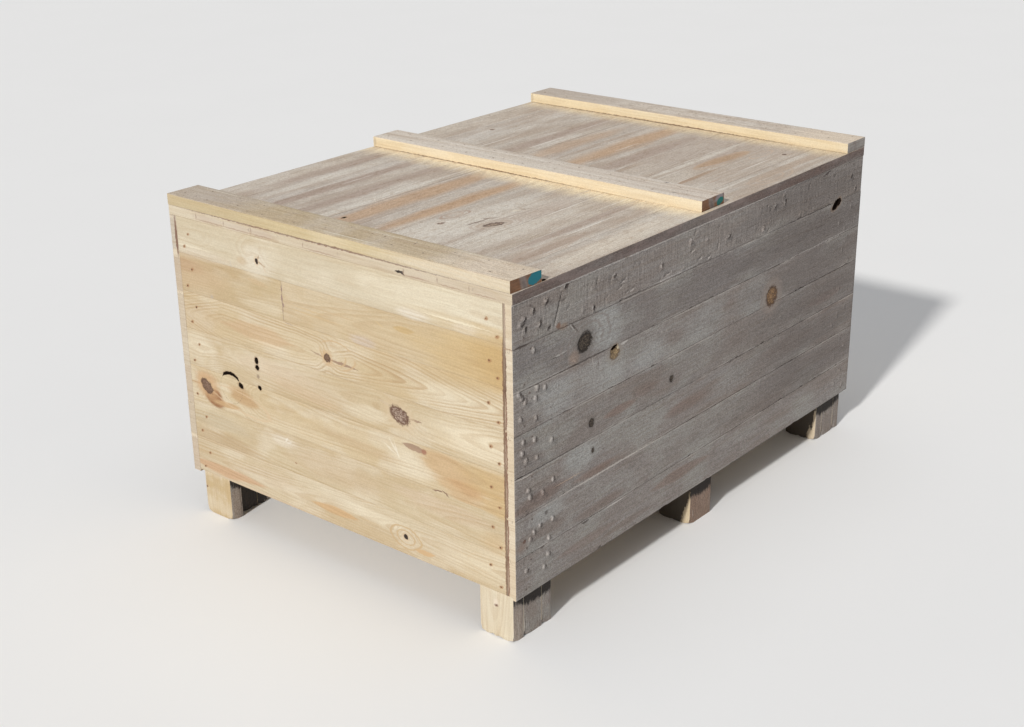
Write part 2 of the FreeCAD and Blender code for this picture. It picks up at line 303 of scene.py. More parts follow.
# %% A small tool for laying out a finish
class Finish:
    """One material's nodes, laid out one at a time."""

    def __init__(self, name, seed=0.0):
        self.material = bpy.data.materials.new(name)
        self.material.use_nodes = True
        self.tree = self.material.node_tree
        self.tree.nodes.clear()
        self.seed = seed
        self.shader = self.node("ShaderNodeBsdfPrincipled")
        output = self.node("ShaderNodeOutputMaterial")
        self.tree.links.new(self.shader.outputs[0], output.inputs[0])

    def node(self, kind, **settings):
        """Add a node and choose its settings."""
        made = self.tree.nodes.new(kind)
        for key, value in settings.items():
            setattr(made, key, value)
        return made

    def feed(self, socket, value):
        """Link a socket, or type a value in."""
        if isinstance(value, bpy.types.NodeSocket):
            self.tree.links.new(value, socket)
        elif isinstance(value, tuple) and len(value) == 3 and socket.type == "RGBA":
            socket.default_value = value + (1.0,)
        else:
            socket.default_value = value

    def calc(self, operation, *values, clamp=False):
        made = self.node("ShaderNodeMath", operation=operation, use_clamp=clamp)
        for socket, value in zip(made.inputs, values):
            self.feed(socket, value)
        return made.outputs[0]

    def shift(self, operation, *values):
        made = self.node("ShaderNodeVectorMath", operation=operation)
        for socket, value in zip(made.inputs, values):
            self.feed(socket, value)
        return made.outputs["Value" if operation in ("LENGTH", "DISTANCE", "DOT_PRODUCT") else "Vector"]

    def between(self, value, start, end, low=0.0, high=1.0):
        """A soft step from low to high as the value goes from start to end."""
        made = self.node("ShaderNodeMapRange", interpolation_type="SMOOTHSTEP", clamp=False)
        for socket, given in zip(made.inputs, (value, start, end, low, high)):
            self.feed(socket, given)
        return made.outputs[0]

    def cloud(self, place, stretch, detail=2.0, roughness=0.5, lift=0.0):
        """Noise whose grain is as many clouds per metre as stretch says, along each axis."""
        moved = self.shift(
            "MULTIPLY_ADD", place, stretch, (self.seed * 7.31, self.seed * 3.17 + lift, lift * 1.7))
        made = self.node("ShaderNodeTexNoise")
        self.feed(made.inputs["Vector"], moved)
        for key, value in (("Scale", 1.0), ("Detail", detail), ("Roughness", roughness)):
            made.inputs[key].default_value = value
        return made.outputs[0]

    def tint(self, share, under, over, blend="MIX"):
        made = self.node("ShaderNodeMix", data_type="RGBA", blend_type=blend)
        for index, value in ((0, share), (6, under), (7, over)):
            self.feed(made.inputs[index], value)
        return made.outputs[2]

    def use(self, pattern, *values):
        made = self.node("ShaderNodeGroup", node_tree=pattern.tree)
        for socket, value in zip(made.inputs, values):
            self.feed(socket, value)
        return made.outputs[0]


# %% [markdown]
# ### Where a point lies on its board
#
# The object coordinates are turned so that x runs along the board, y across it and z out of its
# face, measured from the middle of the face. Every later step can then speak of a board, and
# not of a wall.

# %% Turn object coordinates into board coordinates
def board_place(finish, lie, low, high):
    """Board coordinates: along, across and out of the seen face."""
    where = finish.node("ShaderNodeTexCoord").outputs["Object"]
    parts = finish.node("ShaderNodeSeparateXYZ")
    turned = finish.node("ShaderNodeCombineXYZ")
    finish.feed(parts.inputs[0], where)
    for to, axis in enumerate((lie.along, lie.across, lie.through)):
        finish.feed(turned.inputs[to], parts.outputs[axis])
    middle = (Vector(low) + Vector(high)) / 2
    face = high[lie.through] if lie.face > 0 else low[lie.through]
    return finish.shift("MULTIPLY_ADD", turned.outputs[0], (1.0, 1.0, float(lie.face)),
                        (-middle[lie.along], -middle[lie.across], -face * lie.face))


# %% [markdown]
# ### Rings, knots and stains
#
# A knot is a branch that the trunk grew round, so near one the rings are pushed outwards. Adding
# a smooth hill to the ring distance does just that, and the same distance from the knot paints
# its dark rim, its brown heart and the resin round it. Everything else that a board carries is
# an oval or a leaf as well: a stain is a soft one under the rings, a mark a crisp one over them.

# %% Name what a board can carry
Knot = namedtuple("Knot", "a c la lc kind push swirl tilt", defaults=(0.014, 4.0, 0.0))
Stain = namedtuple("Stain", "a c la lc colour share tilt soft leaf", defaults=(0.0, 0.4, False))
Mark = namedtuple("Mark", "a c la lc colour share tilt soft leaf", defaults=(0.0, 0.15, True))
Loop = namedtuple("Loop", "a c la lc colour share tilt thick", defaults=(0.0, 0.08))
Hole = namedtuple("Hole", "a c la lc tilt", defaults=(0.0,))
Arc = namedtuple("Arc", "a c la radius thick")


def several(kind, *rows):
    """A list of features of one kind, from a row of values for each."""
    return [kind(*row) for row in rows]


KNOTS = {
    "brown": ((0.27, 0.17, 0.115), (0.11, 0.060, 0.035), (0.56, 0.36, 0.19)),
    "mottled": ((0.47, 0.37, 0.29), (0.13, 0.065, 0.040), (0.60, 0.47, 0.31)),
    "black": ((0.05, 0.03, 0.02), (0.02, 0.012, 0.01), (0.60, 0.44, 0.28)),
    "tight": ((0.52, 0.34, 0.20), (0.30, 0.17, 0.09), (0.62, 0.44, 0.26)),
    "grey": ((0.15, 0.115, 0.085), (0.022, 0.016, 0.012), (0.20, 0.17, 0.15)),
    "orange": ((0.50, 0.36, 0.19), (0.16, 0.11, 0.07), (0.36, 0.31, 0.26)),
    "rusty": ((0.44, 0.26, 0.12), (0.10, 0.06, 0.04), (0.36, 0.29, 0.245)),
    "lid": ((0.46, 0.35, 0.26), (0.15, 0.105, 0.085), (0.56, 0.46, 0.37)),
}


# %% Say how strong each part of a finish is, unless a look says otherwise
PLAIN = dict(
    grain_tone=(0.84, 0.79, 0.72), wander=0.006, spacing=0.006, ridge=0.2, fuzz=0.4, lumps=0.3, pitted=0.1,
    bump=0.5, streak_size=(1.3, 55.0, 55.0), mottle_size=(30.0, 70.0, 70.0), grain_size=(5.0, 190.0, 190.0),
    streaks=0.3, rust=0.5, grey_fade=0.8, lines=0.5, fibre=0.12, mottle=0.1, grain=0.5, grit=0.5,
    grit_tone=(0.82, 0.80, 0.78), seam=0.15, seam_reach=0.0018, rough=(0.55, 0.75))
print("A plain look has", len(PLAIN), "settings and", len(KNOTS), "kinds of knot")


# %% Lay out the rings of the tree
def tree_rings(finish, place, along, across, through, look, rnd, hills):
    """The share of latewood at each point, from 0 in the pale early wood to 1 in the tan line."""
    calc, between, cloud = finish.calc, finish.between, finish.cloud
    slow = cloud(place, (2.0, 4.0, 4.0), 1.0)
    quick = cloud(place, (8.0, 30.0, 30.0), 2.0, lift=4.0)
    heart = look.get("heart", (rnd.uniform(-0.03, 0.03), rnd.uniform(-0.05, -0.02)))
    sideways = calc("ADD", calc("MULTIPLY_ADD", slow, 0.05, -heart[0] - 0.025), across)
    deep = calc("SUBTRACT", through, heart[1])
    from_heart = calc("SQRT", calc("MULTIPLY_ADD", sideways, sideways, calc("MULTIPLY", deep, deep)))
    slope = look.get("slope", rnd.choice((-1, 1)) * rnd.uniform(0.03, 0.07))
    taper = calc("MULTIPLY", along, slope)
    if "tips" in look:
        left, left_slope, right, right_slope = look["tips"]
        taper = calc("MAXIMUM", calc("MULTIPLY", calc("SUBTRACT", left, along), left_slope),
                     calc("MULTIPLY", calc("SUBTRACT", along, right), right_slope))
        taper = calc("MAXIMUM", taper, 0.0)
    radius = calc("ADD", taper, from_heart)
    radius = calc("MULTIPLY_ADD", quick, look["wander"], radius)
    radius = calc("MULTIPLY_ADD", slow, 0.02, radius)
    for away, knot in hills:
        hill = between(away, knot.swirl, 0.3)
        radius = calc("MULTIPLY_ADD", hill, knot.push, radius)
    count = calc("DIVIDE", radius, look["spacing"])
    year = calc("FRACT", count)
    late = calc("MULTIPLY", between(year, 0.2, 0.86), between(year, 1.0, 0.9))
    uneven = finish.node("ShaderNodeTexNoise", noise_dimensions="1D")
    finish.feed(uneven.inputs["W"], calc("MULTIPLY", count, 0.45))
    uneven.inputs["Scale"].default_value = 1.0
    fade = cloud(place, (4.0, 20.0, 20.0), 1.0, lift=6.0)
    late = calc("MULTIPLY", late, between(uneven.outputs[0], 0.3, 0.65, 0.25, 1.0))
    return calc("MULTIPLY", late, between(fade, 0.3, 0.6, 0.35, 1.0)), quick


# %% [markdown]
# A plank can carry dozens of marks, and each is the same few nodes with other numbers. They are
# bundled up once as a pattern, which any finish can then use as a single node.

# %% Bundle up the nodes of an oval and of a patch of paint
class Pattern(Finish):
    """A few nodes under one name, to be used again and again."""

    def __init__(self, name, inputs, outputs):
        self.tree = bpy.data.node_groups.new(name, "ShaderNodeTree")
        for way, sockets in (("INPUT", inputs), ("OUTPUT", outputs)):
            for title, kind in sockets.items():
                self.tree.interface.new_socket(title, in_out=way, socket_type="NodeSocket" + kind)
        self.given = self.node("NodeGroupInput").outputs
        self.result = self.node("NodeGroupOutput").inputs


OVAL_INPUTS = {"Place": "Vector", "Centre": "Vector", "Turn": "Vector", "Size": "Vector"}


def oval_in(finish, given, leaf):
    """1 on the edge of the tilted oval, or leaf, that the four inputs describe."""
    turned = finish.node("ShaderNodeMapping", vector_type="TEXTURE")
    for socket, title in zip(turned.inputs, OVAL_INPUTS):
        finish.feed(socket, given[title])
    if not leaf:
        return finish.shift("LENGTH", turned.outputs[0])
    parts = finish.node("ShaderNodeSeparateXYZ")
    finish.feed(parts.inputs[0], turned.outputs[0])
    return finish.calc(
        "MULTIPLY_ADD", parts.outputs[0], parts.outputs[0], finish.calc("ABSOLUTE", parts.outputs[1]))


def patch_of(leaf):
    """The nodes that lay paint in an oval or a leaf with a ragged edge."""
    inputs = {"Colour": "Color", **OVAL_INPUTS, "Ragged": "Float", "Outer": "Float", "Inner": "Float",
              "Share": "Float", "Paint": "Color"}
    pattern = Pattern("leaf patch" if leaf else "oval patch", inputs, {"Colour": "Color"})
    given = pattern.given
    away = pattern.calc("ADD", oval_in(pattern, given, leaf), given["Ragged"])
    share = pattern.between(away, given["Outer"], given["Inner"], 0.0, given["Share"])
    pattern.feed(pattern.result[0], pattern.tint(share, given["Colour"], given["Paint"]))
    return pattern


OVAL = Pattern("oval", OVAL_INPUTS, {"Away": "Float"})
OVAL.feed(OVAL.result[0], oval_in(OVAL, OVAL.given, False))
PATCH = {leaf: patch_of(leaf) for leaf in (False, True)}


def oval_of(spot, middle, lie):
    """The centre, turn and size of a feature, in board coordinates."""
    centre = (spot.a - middle[lie.along], spot.c - middle[lie.across], 0.0)
    return centre, (0.0, 0.0, getattr(spot, "tilt", 0.0)), (spot.la, spot.lc, 1000.0)


def away_from(finish, place, middle, lie, spot):
    """0 at the middle of a feature and 1 on its edge."""
    return finish.use(OVAL, place, *oval_of(spot, middle, lie))


def paint_patch(finish, colour, place, middle, lie, spot, ragged):
    """The colour with one stain or mark laid over it."""
    return finish.use(PATCH[spot.leaf], colour, place, *oval_of(spot, middle, lie), ragged,
                      1 + spot.soft, 1 - spot.soft, spot.share, spot.colour)


print("Patterns:", [group.name for group in bpy.data.node_groups])


# %% Set the knots
def set_knots(finish, colour, hills, wobble, grit):
    """Each knot's resin, its mottled heart with rings of its own, and its dark rim."""
    calc, between, tint = finish.calc, finish.between, finish.tint
    for away, knot in hills:
        if knot.kind is None:
            continue
        core, rim, halo = KNOTS[knot.kind]
        away = calc("ADD", away, calc("MULTIPLY_ADD", wobble.outputs[0], 0.7, -0.35))
        colour = tint(between(away, 2.3, 1.0, 0.0, 0.6), colour, halo)
        inner = tint(
            between(calc("MULTIPLY_ADD", grit, 0.6, calc("MULTIPLY", wobble.outputs[0], 0.4)), 0.36, 0.64),
            core, rim)
        turn = calc("FRACT", calc("MULTIPLY", away, 3.3))
        inner = tint(between(turn, 0.3, 0.9, 0.0, 0.45), inner, rim)
        inner = tint(between(away, 0.55, 0.92, 0.0, 0.9), inner, rim)
        colour = tint(between(away, 1.22, 0.86), colour, inner)
    return colour


# %% Open the knot holes and the curved splits
HOLE_RIM, HOLE_DARK = (0.30, 0.18, 0.10), (0.012, 0.008, 0.006)


def open_holes(finish, colour, place, across, middle, lie, holes, arcs):
    """Dark, dull places; an arc is the upper part of a thin ring."""
    calc, between, tint = finish.calc, finish.between, finish.tint
    gaps = [away_from(finish, place, middle, lie, hole) for hole in holes]
    for arc in arcs:
        spot = Hole(arc.a, arc.c, 1.0, 1.0)
        ring = calc("ABSOLUTE", calc("SUBTRACT", away_from(finish, place, middle, lie, spot), arc.radius))
        above = calc("SUBTRACT", across, arc.c - middle[lie.across])
        gaps.append(calc("DIVIDE", ring, calc("MAXIMUM", calc(
            "MULTIPLY", between(above, 0.56 * arc.radius, 0.95 * arc.radius), arc.thick), 0.0001)))
    if gaps:
        nearest = gaps[0]
        for other in gaps[1:]:
            nearest = calc("MINIMUM", nearest, other)
        colour = tint(between(nearest, 1.7, 1.0, 0.0, 0.45), colour, HOLE_RIM)
        colour = tint(between(nearest, 1.15, 0.85), colour, HOLE_DARK)
        finish.feed(finish.shader.inputs["Specular IOR Level"], between(nearest, 0.9, 1.2, 0.0, 0.5))
    return colour


# %% Raise the grain
def raise_grain(finish, look, place, late, fibre, mottle, grit):
    """Bump for what is too fine to model: year lines, fibres, weathered lumps and saw marks."""
    calc, cloud = finish.calc, finish.cloud
    height = calc("MULTIPLY_ADD", late, look["ridge"], calc("MULTIPLY", fibre, look["fuzz"]))
    height = calc("MULTIPLY_ADD", mottle, look["lumps"], height)
    height = calc("MULTIPLY_ADD", grit, look["pitted"], height)
    if "saw" in look:
        saw = cloud(place, (120.0, 8.0, 8.0), 3.0, 0.6, lift=21.0)
        height = calc("MULTIPLY_ADD", saw, look["saw"], height)
    bump = finish.node("ShaderNodeBump")
    bump.inputs["Strength"].default_value = look["bump"]
    bump.inputs["Distance"].default_value = 0.001
    finish.feed(bump.inputs["Height"], height)
    finish.feed(finish.shader.inputs["Normal"], bump.outputs[0])


# %% Mix the whole finish of one board
def pine(name, lie, low, high, seed, look, knots=(), holes=(), stains=(), arcs=(), marks=(), loops=()):
    """A pine finish for the board between two corners; its features are given along and across."""
    finish = Finish(name, seed)
    calc, between, tint, cloud = finish.calc, finish.between, finish.tint, finish.cloud
    look = {**PLAIN, **look}
    rnd = random.Random(int(seed * 1000) + 5)
    place = board_place(finish, lie, low, high)
    middle = (Vector(low) + Vector(high)) / 2
    half = (high[lie.across] - low[lie.across]) / 2
    parts = finish.node("ShaderNodeSeparateXYZ")
    finish.feed(parts.inputs[0], place)
    along, across, through = parts.outputs
    wobble = finish.node("ShaderNodeTexNoise")
    finish.feed(wobble.inputs["Vector"], place)
    wobble.inputs["Scale"].default_value = 150.0
    calm = finish.shift("SUBTRACT", place, (0.0025, 0.0025, 0.0))
    shaken = finish.shift("MULTIPLY_ADD", wobble.outputs["Color"], (0.005, 0.005, 0.0), calm)
    hills = [(away_from(finish, shaken, middle, lie, knot), knot) for knot in knots]
    late, quick = tree_rings(finish, place, along, across, through, look, rnd, hills)

    streak = cloud(place, look["streak_size"], 3.0, 0.6, lift=9.0)
    broad = cloud(place, (2.5, 11.0, 11.0), 2.0, lift=13.0)
    fibre = cloud(place, (16.0, 620.0, 620.0), 2.0, 0.6, lift=17.0)
    mottle = cloud(place, look["mottle_size"], 4.0, 0.65, lift=25.0)
    grit = cloud(place, (300.0, 420.0, 420.0), 2.0, 0.6, lift=29.0)
    grain = cloud(place, look["grain_size"], 2.0, 0.6, lift=33.0)

    colour = tint(between(broad, 0.33, 0.68), look["pale"], look["warm"])
    colour = tint(between(streak, 0.5, 0.75, 0.0, look["streaks"]), colour, look["streak"])
    if "grey" in look:
        worn = tint(between(mottle, 0.35, 0.65), look["grey_dark"], look["grey_light"])
        worn = tint(between(streak, 0.40, 0.66, 0.0, look["rust"]), worn, look["brown"])
        share = between(broad, 0.3, 0.75, look["grey"], look["grey"] * look["grey_fade"])
        colour = tint(share, colour, worn)
    if "haze" in look:
        wide = cloud(
            finish.node("ShaderNodeTexCoord").outputs["Object"], look["haze_size"], 3.0, 0.55, lift=2.0)
        haze = calc("MULTIPLY_ADD", mottle, 0.25, wide)
        colour = tint(between(haze, 0.58, 0.78, 0.0, look["haze_share"]), colour, look["haze"])
    ragged = calc("ADD", calc("ADD", streak, quick), -1.0)
    for stain in stains:
        colour = paint_patch(finish, colour, place, middle, lie, stain, ragged)
    colour = tint(calc("MULTIPLY", late, look["lines"]), colour, look["late"])
    colour = tint(between(fibre, 0.35, 0.75, 0.0, look["fibre"]), colour, look["late"], "MULTIPLY")
    colour = tint(between(mottle, 0.45, 0.75, 0.0, look["mottle"]), colour, look["streak"], "MULTIPLY")
    colour = tint(between(grain, 0.42, 0.68, 0.0, look["grain"]), colour, look["grain_tone"], "MULTIPLY")
    colour = tint(between(grit, 0.36, 0.64, 0.0, look["grit"]), colour, look["grit_tone"], "MULTIPLY")
    edge = calc("MULTIPLY_ADD", mottle, 0.004, calc("ADD", calc("ABSOLUTE", across), -0.002))
    worn_edge = between(broad, 0.35, 0.55, look["seam"] * 0.35, look["seam"])
    seam = between(edge, half - look["seam_reach"], half)
    if "arris" in look:
        rubbed = calc("MULTIPLY", between(edge, half - 0.0055, half - 0.002), between(quick, 0.48, 0.62))
        colour = tint(calc("MULTIPLY", rubbed, 0.45), colour, look["arris"])
    colour = tint(calc("MULTIPLY", seam, worn_edge), colour, look["seam_tone"], "MULTIPLY")

    crumbly = calc("MULTIPLY_ADD", mottle, 0.8, -0.4)
    for mark in marks:
        colour = paint_patch(finish, colour, shaken, middle, lie, mark, crumbly)
    for loop in loops:
        away = calc("MULTIPLY_ADD", quick, 0.5, away_from(finish, shaken, middle, lie, loop))
        off = calc("ABSOLUTE", calc("SUBTRACT", away, 1.25))
        share = calc(
            "MULTIPLY", between(off, loop.thick * 1.7, loop.thick * 0.5, 0.0, loop.share),
            between(streak, 0.3, 0.5))
        colour = tint(share, colour, loop.colour)
    colour = set_knots(finish, colour, hills, wobble, grit)
    colour = open_holes(finish, colour, shaken, across, middle, lie, holes, arcs)

    finish.feed(finish.shader.inputs["Base Color"], colour)
    finish.feed(finish.shader.inputs["Roughness"], between(fibre, 0.2, 0.8, *look["rough"]))
    finish.shader.inputs["IOR"].default_value = 1.42
    raise_grain(finish, look, place, late, fibre, mottle, grit)
    return finish.material


# %% [markdown]
# ### Three ages of pine
#
# The ends of this crate were planed not long ago and are still cream. The sides are old stock
# that has gone grey in the rain, and the lid is between the two. Each look below is a set of
# tones that the pine finish mixes by its rings and streaks. Cut ends and the insides, which no
# sun has reached, have a look each as well.

# %% Choose the tones
FRESH = dict(
    pale=(0.675, 0.575, 0.405), warm=(0.60, 0.48, 0.30), late=(0.48, 0.33, 0.175), streak=(0.57, 0.43, 0.255),
    seam_tone=(0.66, 0.56, 0.45), lines=0.44, seam=0.25, grain=0.36, haze=(0.74, 0.665, 0.525),
    haze_share=0.6, haze_size=(6.0, 6.0, 12.0))
WEATHERED = dict(
    pale=(0.44, 0.39, 0.345), warm=(0.40, 0.335, 0.285), late=(0.18, 0.15, 0.135), streak=(0.62, 0.56, 0.51),
    grey=0.95, grey_light=(0.53, 0.495, 0.475), grey_dark=(0.345, 0.312, 0.295), brown=(0.345, 0.285, 0.25),
    grain=0.45, saw=1.6, streak_size=(4.0, 34.0, 34.0), mottle_size=(110.0, 170.0, 170.0), rust=0.5,
    lines=0.16, seam=0.95, seam_reach=0.0014, seam_tone=(0.16, 0.13, 0.115), fuzz=0.5, ridge=0.3, lumps=2.4,
    rough=(0.75, 0.95), fibre=0.22, mottle=0.6, grit=1.0, grit_tone=(0.70, 0.69, 0.68), pitted=1.3, bump=0.95,
    arris=(0.58, 0.53, 0.485), haze=(0.50, 0.485, 0.455), haze_share=0.7, haze_size=(9.0, 6.0, 12.0))
AGED = dict(
    pale=(0.68, 0.63, 0.54), warm=(0.64, 0.54, 0.43), late=(0.40, 0.31, 0.24), streak=(0.55, 0.41, 0.30),
    grey=0.8, grey_light=(0.82, 0.775, 0.70), grey_dark=(0.54, 0.475, 0.41), brown=(0.51, 0.40, 0.32),
    rust=0.75, grain=0.4, lines=0.22, seam=0.35, seam_tone=(0.55, 0.47, 0.41), rough=(0.65, 0.85), lumps=1.3,
    fibre=0.18, grit=1.0, grit_tone=(0.76, 0.74, 0.72), pitted=0.5, mottle=0.5, streak_size=(2.0, 28.0, 28.0),
    mottle_size=(60.0, 100.0, 100.0), haze=(0.84, 0.80, 0.73), haze_share=0.55, haze_size=(12.0, 5.0, 5.0))
END_GRAIN = dict(
    pale=(0.74, 0.65, 0.51), warm=(0.68, 0.57, 0.42), late=(0.5, 0.36, 0.22), streak=(0.58, 0.48, 0.35),
    seam_tone=(0.6, 0.5, 0.4), lines=0.3, seam=0.0, heart=(0.3, -0.2), slope=0.02)
INNER = dict(
    pale=(0.68, 0.57, 0.41), warm=(0.62, 0.49, 0.33), late=(0.46, 0.31, 0.17), streak=(0.54, 0.39, 0.24),
    seam_tone=(0.5, 0.4, 0.3), lines=0.45, seam=0.3)


def age(look, **changes):
    """The same look with some of its tones changed."""
    return {**look, **changes}


print("Looks:", [len(look) for look in (FRESH, WEATHERED, AGED, END_GRAIN, INNER)], "tones and settings")


# %% Coat the faces of a board
def coat(piece, lie, seen, ends, hidden, outer=None, side=0, near=0.006):
    """Put finishes on the seen face with its arrises, the ends, the rest, and an outer edge."""
    for material in (seen, ends, hidden, outer or hidden):
        piece.data.materials.append(material)
    edge = reach_of(piece, lie.across)[side > 0]
    plane = face_plane(piece, lie)
    for face in piece.data.polygons:
        if face.normal[lie.through] * lie.face > 0.3:
            face.material_index = 0
        elif abs(face.normal[lie.along]) > 0.7:
            face.material_index = 1
        elif outer and face.normal[lie.across] * side > 0.5 and abs(face.center[lie.across] - edge) < 0.003:
            face.material_index = 3
        elif abs(face.center[lie.through] - plane) < near:
            face.material_index = 0
        else:
            face.material_index = 2


# %% [markdown]
# ## Where the nails go
#
# Nearly three hundred round heads hold the crate together. The places are read off the CAD
# nails, so that none is missed, before any plank is made: the wood round a nail rusts, and each
# plank's finish has to know where. In a corner foot two nails meet tip to tip, so they come off
# the CAD as one long piece with a head at each end, and both heads are kept.

# %% Read the nail places off the CAD
chance = random.Random(41)
SHANK = 0.003  # what lies further out from the middle of a nail is its head
HEADS_APART = 0.01  # a nail whose head is longer than this has two
FRONT_NAIL_DROP = 0.010
FOOT_PROUD = 0.0016
FRONT_FOOT_NAILS = {"left": (-0.4545, 0.066), "right": (0.4425, 0.0735)}


def nail_places(node, spread):
    """The middle of each CAD nail's head with a little jitter, and the way out of the wood there."""
    bpy.ops.object.select_all(action="DESELECT")
    copy = bpy.data.objects.new("nail_copy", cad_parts[node].data.copy())
    bpy.context.scene.collection.objects.link(copy)
    copy.select_set(True)
    edit(copy)
    bpy.ops.mesh.select_all(action="SELECT")
    bpy.ops.mesh.remove_doubles(threshold=1e-5)
    bpy.ops.mesh.separate(type="LOOSE")
    close()
    found, outer = [], []
    for part in list(bpy.context.selected_objects):
        points = [v.co.copy() for v in part.data.vertices]
        low = Vector([min(p[i] for p in points) for i in range(3)])
        high = Vector([max(p[i] for p in points) for i in range(3)])
        axis = max(range(3), key=lambda i: high[i] - low[i])
        middle = (low + high) / 2
        wide = [p[axis] for p in points if (p - middle - towards(axis, (p - middle)[axis])).length > SHANK]
        out = 1 if sum(wide) / len(wide) > middle[axis] else -1
        if max(wide) - min(wide) > HEADS_APART:
            out = 1 if middle[axis] < 0 else -1
            second = middle.copy()
            second[axis] = low[axis] if out > 0 else high[axis]
            outer.append((second, axis, -out))
        middle[axis] = high[axis] if out > 0 else low[axis]
        found.append((middle, axis, out))
        bpy.data.objects.remove(part)
    found.sort(key=lambda n: (n[1], n[2], round(n[0].x, 3), round(n[0].y, 3), round(n[0].z, 3)))
    for head, axis, out in found:
        for other in range(3):
            if other != axis:
                head[other] += chance.uniform(-spread, spread)
        if node == "wall_nails" and axis == 1 and out < 0 and head.z > 0.11:
            head.z -= FRONT_NAIL_DROP
    for head, axis, out in outer:
        if out < 0:
            head.y -= FOOT_PROUD
            head.x, head.z = FRONT_FOOT_NAILS["right" if head.x > 0 else "left"]
    return found + sorted(outer, key=lambda n: (n[2], round(n[0].x, 3)))


NAILS = {
    node: nail_places(node, spread)
    for node, spread in (("wall_nails", 0.004), ("lid_nails", 0.007), ("floor_nails", 0.004))}
print("Nails found:", {node: len(found) for node, found in NAILS.items()})


WALL_FRONT, WALL_BACK, WALL_RIGHT, LID_TOP, BATTENS_TOP = -0.6875, 0.6875, 0.495, 0.7523, 0.7773


def rust_marks(lie, plane, colour, share):
    """A rusty halo for every nail whose head lies in that plane."""
    return [Mark(head[lie.along] + 0.001, head[lie.across], 0.0050, 0.0036, colour, share, 0.5, 0.5, False)
            for found in NAILS.values() for head, axis, out in found
            if axis == lie.through and out == lie.face and abs(head[axis] - plane) < 0.004]


# %% [markdown]
# ## The wall and lid planks
#
# One routine makes every plank from its CAD box: saw, machine, ease, slice, ripple. Random but
# fixed small offsets set each plank a hair deeper or shorter than its neighbour, as no two
# planks are ever nailed up quite alike.

# %% Make one plank
def make_plank(name, lie, tongue, groove, eased, pitch, low, high, reach, inset):
    """One plank, a hair out of line with its neighbours, and the box it was sawn to."""
    low, high = low.copy(), high.copy()
    if tongue:
        low[lie.across] += TONGUE
    sunk = chance.uniform(0.0, 0.0006) + inset
    if lie.face > 0:
        high[lie.through] -= sunk
    else:
        low[lie.through] += sunk
    uneven = 0.0003 if lie == END_FRONT else 0.0009
    low[lie.along] += chance.uniform(0.0, uneven) - reach[0]
    high[lie.along] -= chance.uniform(0.0, uneven) - reach[1]
    piece = sawn_block(name + "_wood", low, high)
    machine_edges(piece, low, high, lie, tongue, groove)
    ease_edges(piece, lie, eased)
    slice_up(piece, lie.along, pitch)
    plane = face_plane(piece, lie)
    slice_up(
        piece, lie.across, pitch, where=lambda e: all(abs(v.co[lie.through] - plane) < 1e-5 for v in e.verts))
    ripple(piece, lie, 0.0007, 0.12, "slow ripple")
    return piece, low, high


# %% Pick the features of one plank
def near_plank(spots, lie, low, high):
    """The features that reach a plank between those corners."""
    found = []
    for spot in spots:
        across = 1.5 * getattr(spot, "lc", 0.02)
        if (low[lie.along] - spot.la < spot.a < high[lie.along] + spot.la
                and low[lie.across] - across - 0.01 < spot.c < high[lie.across] + across + 0.01):
            found.append(spot)
    return found


# %% Make a wall of planks
BUTT_JOINT = (-0.1398, -0.1391)
FEATURES = ("knots", "holes", "stains", "arcs", "marks", "loops")


def wall_of_planks(
        side, lie, rows, look, eased, pitch, marks={}, tones={}, reach=(0.0, 0.0), chips=0, insets={}):
    """Every plank of one wall; marks holds its knots, holes, stains and dents."""
    made = []
    for row in rows:
        name = f"{side}_plank_{row}"
        box_low, box_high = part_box(name)
        first, last = row == rows[0], row == rows[-1]
        tongue, groove = not (first and side not in ("front", "back")), not last
        spans = [(name, box_low, box_high)]
        if name == "front_plank_6":
            left_high, right_low = box_high.copy(), box_low.copy()
            left_high.x, right_low.x = BUTT_JOINT
            spans = [(name, box_low, left_high), (name + "_right", right_low, box_high)]
        pieces = []
        for index, (title, start, stop) in enumerate(spans):
            ends = reach if len(spans) == 1 else ((reach[0], 0.0), (0.0, reach[1]))[index]
            piece, low, high = make_plank(
                title, lie, tongue, groove, eased, pitch, start, stop, ends, insets.get(row, 0.0))
            here = {kind: near_plank(spots, lie, low, high) for kind, spots in marks.items()}
            dents = list(here.get("dents", ()))
            for _ in range(chips):
                edge = chance.choice((low[lie.across] + 0.0008, high[lie.across] - 0.0008))
                dents.append(Dent(
                    chance.uniform(low[lie.along], high[lie.along]), edge, chance.uniform(0.003, 0.010),
                    chance.uniform(0.0015, 0.003), 0.0013, 0.0, 0.003))
            press(piece, lie, dents)
            seed = chance.uniform(1, 60)
            finish = pine(
                f"{name} face {index}", lie, low, high, seed, age(look, **tones.get((row, index), {})),
                **{kind: here.get(kind, ()) for kind in FEATURES})
            outer_side = 1 if last else (-1 if first and not tongue else 0)
            coat(piece, lie, finish, END_FINISH[side], INNER_FINISH[side],
                 EDGE_FINISH[side] if outer_side and side in EDGE_FINISH else None, outer_side, near=0.012)
            pieces.append(piece)
        piece = joined(name + "_wood", pieces)
        smooth(piece)
        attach(piece, "lid" if side == "lid" else "crate")
        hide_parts(name)
        made.append(piece)
    print(side, "planks:", len(made), "with", sum(len(p.data.polygons) for p in made), "faces")


# %% [markdown]
# ### The cut ends
#
# At the corners the ends of the side planks show as a pale strip beside the front wall, with a
# brown line where the two walls meet, and the ends of the lid planks show as a band under the
# front batten, with a painted shade line along its top. They get their own finishes, laid out in
# the plane of the front.

# %% Finish the cut ends
def row_middle(row):
    """Height of the middle of a row of planks, counted from 0 at the bottom."""
    return 0.145 + 0.09 * row


